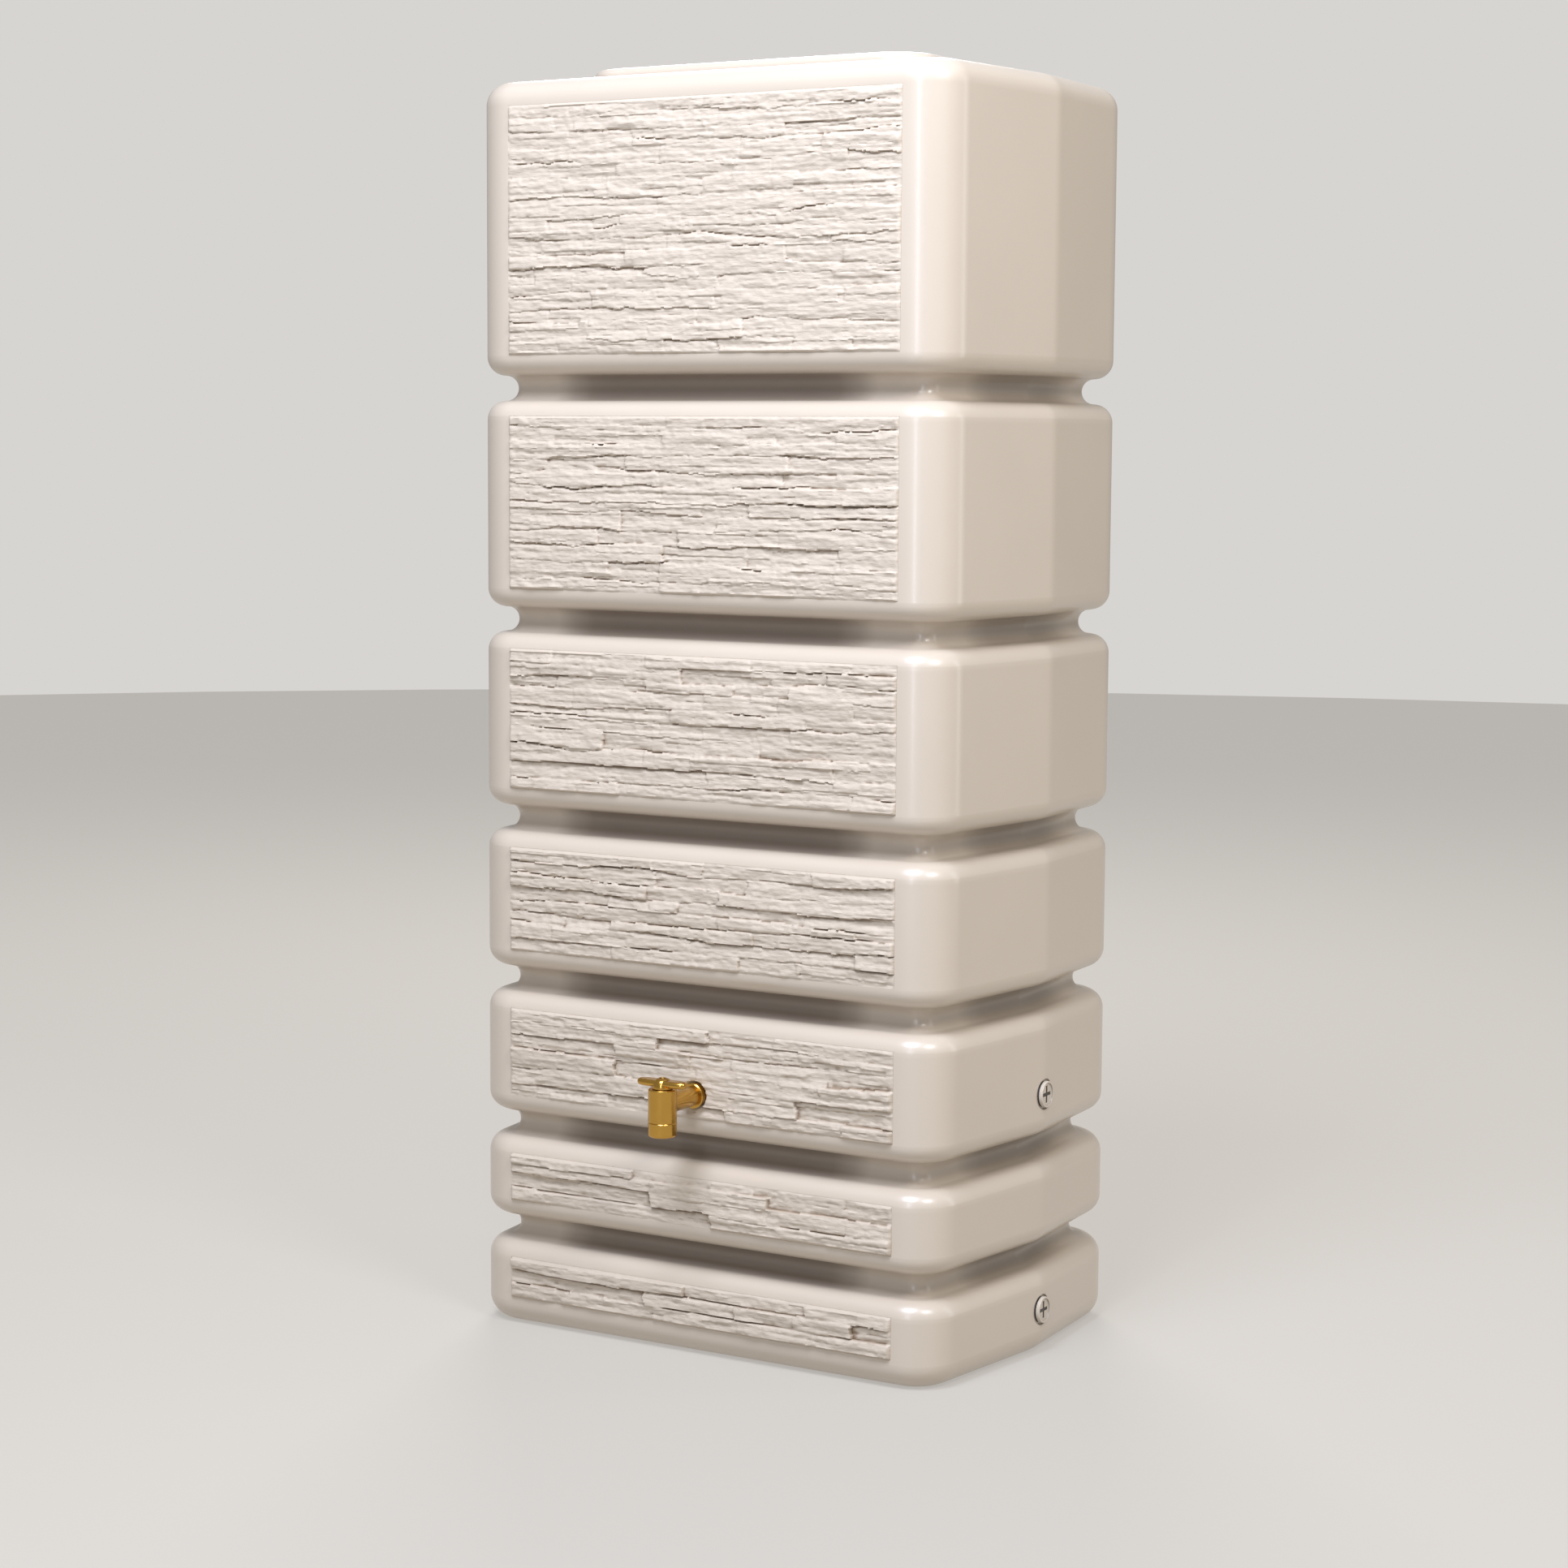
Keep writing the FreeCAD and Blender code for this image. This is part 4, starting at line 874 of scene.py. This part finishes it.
def carved_height(form, band, levels, courses, x, z):
    """How far the split stone stands out of its ground over a grid.

    Each stone is a plane between the stands of its ends. Chips and flakes of two sizes, swells and a tilt of
    its own lie on it, and its upper edge is worn. A narrow joint is open here and there along its lower edge.
    The surface sinks to the front's face at the panel's border, and to the ground on the tap's seat.
    """
    dice = np.random.default_rng(CARVING_SEED + band)
    wild = band / (BAND_COUNT - 1)
    sway, ground, stand, chip, openness = (
        foot + change * wild for foot, change in (SWAY, GROUND, STAND, CHIP, OPENNESS)
    )
    course, under, over = by_course(wandering(dice, levels, x, sway * MM), z)
    jag = x[None] + layer(dice, x, z, *STONE_JAG)
    plain, side, lean = np.zeros(course.shape), np.zeros(course.shape), np.zeros(course.shape)
    for k, (breaks, stands) in enumerate(courses):
        here = course == k
        stone = np.clip(np.searchsorted(breaks, jag[here]) - 1, 0, len(stands) - 1)
        start, end = breaks[stone], breaks[stone + 1]
        share = np.clip((jag[here] - start) / (end - start), 0, 1)
        own = stands[stone, 0] * (1 - share) + stands[stone, 1] * share
        plain[here] = own + EVENING * wild * (stands.mean() - own)
        side[here] = np.minimum(jag[here] - start, end - jag[here])
        lean[here] = dice.uniform(-1, 1, len(stands))[stone]
    height = ground * MM + stand * plain
    height += lean * TILT * MM * (under - over) / np.maximum(under + over, MM)
    for out, fold, long, tall in CHIPS:
        height += chip * MM * (out - fold * abs(lumps(dice, x, z, long * MM, tall * MM)))
    for deep, thick, long, drift in FLAKES:
        height += deep * MM * flakes(dice, x, z, thick * MM, long * MM, drift * MM)
    for swell in SWELLS:
        height += layer(dice, x, z, *swell)
    for distance, (deep, reach) in ((over, WORN_TOP), (side, WORN_SIDE)):
        height -= deep * MM * worn(distance, reach)
    patches, long, tall = OPEN_PATCHES
    opened = ease(openness + patches * lumps(dice, x, z, long * MM, tall * MM))
    height *= 1 - opened * worn(under - JOINT_WIDTH * MM, JOINT_EDGE)
    height += (form.panel_recess - height) * worn(to_border(x, z), BORDER)
    return np.clip(height * off_seat(form, x, z), LEAST_STAND * MM, form.stone_high + OVER_STAND * MM)


def off_seat(form, x, z):
    """A share for every point of the grid: 0 on the tap's round seat, rising to 1 just outside it."""
    centre = (SEAL_LOW + SEAL_HIGH) / 2
    radius = (SEAL_HIGH.x - SEAL_LOW.x) / 2
    distance = np.hypot(x[None] - centre.x, z[:, None] - centre.z)
    return ease((distance - radius - form.tap_play) / (2 * MM))


def to_border(x, z):
    """The distance of every point of the grid to the nearest edge of its panel."""
    return np.minimum(np.minimum(x - x[0], x[-1] - x)[None], np.minimum(z - z[0], z[-1] - z)[:, None])


def stone_slab(form, band, levels, courses):
    """One panel as a closed slab: the carved front, four sides and a plain back."""
    play = form.panel_play
    ground = form.panel_recess - form.depth / 2
    low, high = panel_span(form, band)
    grain = form.stone_grain
    x = np.linspace(-form.panel_half + play, form.panel_half - play, round(2 * form.panel_half / grain))
    z = np.linspace(low + play, high - play, round((high - low) / (0.8 * grain)))
    height = carved_height(form, band, levels, courses, x, z)
    # Painted shade deep between the stones, none on the tap's seat.
    shade = painted_cavity_shade(height, x, z) * off_seat(form, x, z)
    across, up = np.meshgrid(x, z)
    front = np.stack([across, ground - height, up], axis=-1)
    surface = Surface()
    numbers = surface.add(front)
    surface.skin(numbers)
    loop = window_loop(numbers, 0, len(z) - 1, 0, len(x) - 1)
    back = surface.points[0][loop].copy()
    back[:, 1] = ground + form.panel_back
    behind = surface.add(back)
    surface.skin(np.vstack([behind, loop]), closed=True)
    surface.cap(behind[::-1])
    mesh = surface.mesh(f"stone_panel_{band + 1}")
    store(mesh, "painted_shade", np.concatenate([shade.ravel(), np.zeros(len(behind))]))
    return mesh


def painted_cavity_shade(height, x, z):
    """How far each point of a carved surface lies under the mean of its neighbourhood, as a share of painted
    shade.

    The mean is taken with bell-shaped weights exp(-d*d), with d the distance over a reach of its own each
    way. The share is nought along the panel's border.
    """
    means = []
    for values, reach in zip((z, x), HOLLOW_REACH):
        weights = np.exp(-(((values[:, None] - values[None]) / (reach * MM)) ** 2))
        means.append(weights / weights.sum(axis=1, keepdims=True))
    share = ease(((means[0] @ height @ means[1].T - height) / MM - HOLLOW_START) / HOLLOW_DEPTH)
    border = 3 * MM
    return HOLLOW_MOST * share * ease(to_border(x, z) / border - 1)


# Shader maths written as expressions.


class Wire:
    """A shader value that can be added and multiplied like a number."""

    def __init__(self, finish, socket):
        self.finish = finish
        self.socket = socket

    def maths(self, operation, first, second):
        """The output of a Math node that works on two values."""
        return self.finish.node("ShaderNodeMath", {"operation": operation}, {0: first, 1: second})

    def __add__(self, other):
        return self.maths("ADD", self, other)

    def __radd__(self, other):
        return self.maths("ADD", other, self)

    def __mul__(self, other):
        return self.maths("MULTIPLY", self, other)

    def __rmul__(self, other):
        return self.maths("MULTIPLY", other, self)


class Finish:
    """A material under construction: its nodes are added by one method and wired to a Principled shader."""

    def __init__(self, name, **fixed):
        self.material = bpy.data.materials.new(name)
        self.material.use_nodes = True
        self.tree = self.material.node_tree
        self.shader = self.tree.nodes["Principled BSDF"]
        for socket, value in fixed.items():
            self.shader.inputs[socket.replace("_", " ")].default_value = value

    def node(self, kind, settings=None, inputs=None, output=0):
        """Adds a node, sets it, fills its sockets with values or wires, and gives back one output."""
        made = self.tree.nodes.new(kind)
        for name, value in (settings or {}).items():
            setattr(made, name, value)
        for name, value in (inputs or {}).items():
            self.fill(made.inputs[name], value)
        return Wire(self, made.outputs[output])

    def fill(self, socket, value):
        """Links a wire to a socket, or sets its value."""
        if isinstance(value, Wire):
            self.tree.links.new(value.socket, socket)
        else:
            socket.default_value = value

    def noise(self, scale, detail=3.0, rough=0.5, stretch=(1, 1, 1)):
        """A noise value about 0.5 on Object coordinates, which may be stretched."""
        own = self.node("ShaderNodeTexCoord", output="Object")
        where = self.node("ShaderNodeMapping", {}, {"Vector": own, "Scale": stretch})
        wants = {"Vector": where, "Scale": scale, "Detail": detail, "Roughness": rough}
        return self.node("ShaderNodeTexNoise", {}, wants)

    def stored(self, name):
        """The number that a piece keeps for every point of its mesh."""
        return self.node("ShaderNodeAttribute", {"attribute_name": name}, output="Fac")

    def blend(self, factor, first, second):
        """A colour between two colours."""
        colours = [(*colour, 1) if not isinstance(colour, Wire) else colour for colour in (first, second)]
        wants = {"Factor": factor, 6: colours[0], 7: colours[1]}
        return self.node("ShaderNodeMix", {"data_type": "RGBA"}, wants, 2)

    def bump(self, height, distance, under=None):
        """A normal from a height, laid over another normal where one is given."""
        wants = {"Height": height, "Distance": distance}
        if under is not None:
            wants["Normal"] = under
        return self.node("ShaderNodeBump", {}, wants)

    def finish(self, **sockets):
        """Wires the shader's sockets and gives back the material."""
        for name, value in sockets.items():
            self.fill(self.shader.inputs[name.replace("_", " ")], value)
        return self.material


def shades(colour, darker, lighter):
    """A darker and a lighter shade of a colour."""
    return [value * darker for value in colour], [min(1, value * lighter) for value in colour]


def moulded_plastic(finish):
    """Satin cream polyethylene: faint cloudiness in the colour, slight orange peel, uneven sheen, and painted
    shade deep in the grooves.
    """
    made = Finish("moulded_plastic", IOR=1.5)
    cloud = made.noise(9.0, 4.0)
    plain = made.blend(cloud, *shades(finish.moulding, 0.96, 1.03))
    return made.finish(
        Base_Color=made.blend(made.stored("painted_shade"), plain, finish.groove),
        Roughness=0.30 + 0.10 * cloud,
        Normal=made.bump(made.noise(420.0, 2.0), 0.06 * MM),
        Coat_Weight=0.5,
        Coat_Roughness=0.2,
    )


def split_stone(finish):
    """The same plastic cast on split stone: duller, layered and grainy, with painted brown shade deep in the
    joints.
    """
    made = Finish("stone_plastic", IOR=1.5)
    layers = made.noise(60.0, 6.0, 0.6, (1, 1, 6))
    grain = made.noise(260.0, 4.0, 0.6, (1, 1, 2.2))
    worn = made.blend(layers, *shades(finish.moulding, 0.93, 1.06))
    return made.finish(
        Base_Color=made.blend(made.stored("painted_shade"), worn, finish.recess),
        Roughness=0.48 + 0.15 * layers,
        Normal=made.bump(grain, 0.3 * MM, under=made.bump(layers, 0.8 * MM)),
    )


def plug_plastic(finish):
    """Smooth satin plastic of the side plugs, with painted shade in the cross and in a thin ring inside the
    rim.
    """
    made = Finish("plug_plastic", IOR=1.5)
    cloud = made.noise(120.0)
    plain = made.blend(cloud, *shades(finish.plug, 1, 1.04))
    return made.finish(
        Base_Color=made.blend(made.stored("painted_shade"), plain, finish.slot),
        Roughness=0.28 + 0.1 * cloud,
        Normal=made.bump(made.noise(900.0), 0.03 * MM),
    )


def turned_metal(name, colour, roughness, streak):
    """Metal turned on a lathe: fine rings across its axis in the sheen and the relief."""
    made = Finish(name, Metallic=1.0)
    rings = made.noise(1.0, 3.0, stretch=(8, 8, 900))
    return made.finish(
        Base_Color=made.blend(made.noise(70.0, 4.0), *shades(colour, 0.88, 1.06)),
        Roughness=roughness + streak * rings,
        Normal=made.bump(rings, 0.02 * MM),
    )


def black_rubber(finish):
    """Matt black rubber with a dusty grain."""
    made = Finish("black_rubber")
    dust = made.noise(500.0)
    return made.finish(
        Base_Color=made.blend(dust, finish.rubber, [value + 0.03 for value in finish.rubber]),
        Roughness=0.6 + 0.2 * dust,
        Normal=made.bump(dust, 0.05 * MM),
    )


FINISHES = {}


def prepare_finishes(finish):
    """Makes every material once."""
    FINISHES.update(
        moulding=moulded_plastic(finish),
        stone=split_stone(finish),
        plug=plug_plastic(finish),
        gold=turned_metal("gold_plate", finish.gold, 0.16, 0.12),
        brass=turned_metal("plain_brass", finish.brass, 0.3, 0.15),
        steel=turned_metal("zinc_steel", finish.steel, 0.3, 0.15),
        rubber=black_rubber(finish),
    )


# Operators, one for each piece or group of like pieces.


class TANK_OT_skin(bpy.types.Operator):
    """Builds the moulded wall with its bands, grooves, roof and collar"""

    bl_idname = "tank.skin"
    bl_label = "Moulded Skin"

    def execute(self, context):
        mesh = moulded_skin(context.scene.tank_form)
        soften(piece("moulded_skin", mesh, FINISHES["moulding"], ("tank_body",)))
        return {"FINISHED"}


class TANK_OT_stones(bpy.types.Operator):
    """Carves the seven stone panels"""

    bl_idname = "tank.stones"
    bl_label = "Stone Panels"

    def execute(self, context):
        form = context.scene.tank_form
        for band, (levels, courses) in enumerate(stone_layout(form)):
            mesh = stone_slab(form, band, levels, courses)
            piece(mesh.name, mesh, FINISHES["stone"], ("tank_body",), crease=50)
        return {"FINISHED"}


class TANK_OT_plugs(bpy.types.Operator):
    """Builds the two cross-slotted side plugs"""

    bl_idname = "tank.plugs"
    bl_label = "Side Plugs"

    def execute(self, context):
        for name in ("side_plug_upper", "side_plug_lower"):
            mesh = plug_head(context.scene.tank_form, name)
            piece(mesh.name, mesh, FINISHES["plug"], (name,))
        return {"FINISHED"}


class TANK_OT_lever(bpy.types.Operator):
    """Builds the tap's oval handle, which turns with the valve"""

    bl_idname = "tank.lever"
    bl_label = "Tap Handle"

    def execute(self, context):
        mesh = lever(context.scene.tank_form)
        soften(piece("oval_handle", mesh, FINISHES["gold"], ("tap_handle",), body="handle"))
        return {"FINISHED"}


class TANK_OT_lid(bpy.types.Operator):
    """Builds the lift-off lid"""

    bl_idname = "tank.lid"
    bl_label = "Lid"

    def execute(self, context):
        mesh = lid_shell(context.scene.tank_form)
        soften(piece("lid_shell", mesh, FINISHES["moulding"], ("lid",)))
        return {"FINISHED"}


class TANK_OT_fittings(bpy.types.Operator):
    """Gives the solids that stay in view their finishes"""

    bl_idname = "tank.fittings"
    bl_label = "Fittings"

    def execute(self, context):
        chosen = {
            "tank_plastic": "moulding", "lid_plastic": "moulding", "plug_plastic": "plug",
            "tap_brass": "gold", "inner_brass": "brass", "screw_steel": "steel", "seal_rubber": "rubber",
        }
        slots = {row["node"]: row["material_slot"] for row in frame["record"]["subparts"]}
        for name, node in frame["nodes"].items():
            node.data.materials.clear()
            node.data.materials.append(FINISHES[chosen[slots[name]]])
        return {"FINISHED"}


class TANK_OT_stage(bpy.types.Operator):
    """Sets the pale floor, the soft lights and the camera"""

    bl_idname = "tank.stage"
    bl_label = "Studio"

    def execute(self, context):
        scene = context.scene
        floor = Surface()
        turn = full_turn(FLOOR_STEPS)
        rim = floor.add(FLOOR_REACH * np.column_stack([np.cos(turn), np.sin(turn), 0 * turn])[None])
        floor.cap(rim[0])
        ground = bpy.data.objects.new("floor", floor.mesh("floor"))
        context.collection.objects.link(ground)
        glow = {"Emission_Color": FLOOR_GLOW, "Emission_Strength": FLOOR_GLOW_STRENGTH}
        pale = Finish("pale_floor", Roughness=0.9, Specular_IOR_Level=0.1, **glow)
        ground.data.materials.append(pale.finish(Base_Color=(*scene.tank_finish.floor, 1)))
        scene.world = soft_world()
        scene.view_settings.view_transform = "Standard"
        for name, spot, aim, *details in LIGHTS:
            add_light(context, name, Vector(spot), Vector(aim), *details)
        add_camera(context)
        return {"FINISHED"}


def soft_world():
    """Even light from all round, which looks paler where the backdrop itself is seen."""
    world = bpy.data.worlds.new("studio")
    world.use_nodes = True
    tree = world.node_tree
    backdrop = tree.nodes["Background"]
    backdrop.inputs["Color"].default_value = BACKDROP
    seen = tree.nodes.new("ShaderNodeLightPath")
    strength = tree.nodes.new("ShaderNodeMapRange")
    strength.inputs["To Min"].default_value = BACKDROP_LIGHT
    strength.inputs["To Max"].default_value = BACKDROP_SEEN
    tree.links.new(seen.outputs["Is Camera Ray"], strength.inputs["Value"])
    tree.links.new(strength.outputs["Result"], backdrop.inputs["Strength"])
    return world


# Each light: its name, place, aim, width, height, colour and power in watts.
LIGHTS = (
    ("front_key", (0.3, -1.85, 3.2), (0, 0, 0.9), 1.3, 1.3, (0.9, 0.985, 1.19), 105),
    ("side_key", (2.2, -1.2, 2.8), (0, 0, 0.9), 0.9, 0.9, (1, 0.985, 0.99), 51),
    ("front_strip", (0.55, -2.55, 1.35), (0.26, -0.19, 0.9), 0.2, 1.9, (0.88, 0.98, 1.2), 12),
    ("side_strip", (2.5, 1.3, 1.3), (0.3, 0, 0.9), 0.5, 2.2, (1, 1, 1), 9),
    ("back_fill", (-1.6, 2.6, 3.4), (0, 0, 0.6), 1.4, 1.4, (1, 1, 1), 105),
)


def add_light(context, name, spot, aim, width, height, colour, power):
    """A rectangular soft light at a spot, turned to its aim."""
    data = bpy.data.lights.new(name, "AREA")
    data.shape = "RECTANGLE"
    data.size, data.size_y = width, height
    data.color = colour
    data.energy = power
    lamp = bpy.data.objects.new(name, data)
    context.collection.objects.link(lamp)
    lamp.location = spot
    lamp.rotation_euler = (aim - spot).to_track_quat("-Z", "Y").to_euler()


def add_camera(context):
    """The camera of the photograph: its place, heading, tilt, roll and lens."""
    data = bpy.data.cameras.new("view")
    data.lens = data.sensor_width * FOCAL_PIXELS / PHOTO_PIXELS
    camera = bpy.data.objects.new("view", data)
    context.collection.objects.link(camera)
    heading, tilt, roll = (math.radians(angle) for angle in CAMERA_ANGLES)
    ahead = Vector((-math.sin(heading) * math.cos(tilt), math.cos(heading) * math.cos(tilt), -math.sin(tilt)))
    turn = ahead.to_track_quat("-Z", "Y").to_matrix() @ Matrix.Rotation(roll, 3, "Z")
    camera.matrix_world = Matrix.Translation(CAMERA_PLACE) @ turn.to_4x4()
    context.scene.camera = camera


class TANK_PT_sidebar(bpy.types.Panel):
    """Lists the steps that dress the tank"""

    bl_label = "Rainwater Tank"
    bl_idname = "TANK_PT_sidebar"
    bl_space_type = "VIEW_3D"
    bl_region_type = "UI"
    bl_category = "Tank"

    def draw(self, context):
        for step in STEPS:
            self.layout.operator(step.bl_idname)


STEPS = (
    TANK_OT_fittings, TANK_OT_skin, TANK_OT_stones, TANK_OT_lid, TANK_OT_plugs, TANK_OT_lever, TANK_OT_stage,
)
CLASSES = (TankForm, TankFinish, *STEPS, TANK_PT_sidebar)


def register():
    """Registers the classes and hangs the settings on the scene."""
    for made in CLASSES:
        bpy.utils.register_class(made)
    bpy.types.Scene.tank_form = PointerProperty(type=TankForm)
    bpy.types.Scene.tank_finish = PointerProperty(type=TankFinish)


def unregister():
    """Takes the settings and the classes away again."""
    del bpy.types.Scene.tank_finish
    del bpy.types.Scene.tank_form
    for made in reversed(CLASSES):
        bpy.utils.unregister_class(made)


def main():
    """Dresses the tank step by step."""
    register()
    prepare_finishes(bpy.context.scene.tank_finish)
    for step in STEPS:
        group, name = step.bl_idname.split(".")
        getattr(getattr(bpy.ops, group), name)()


if __name__ == "__main__":
    main()
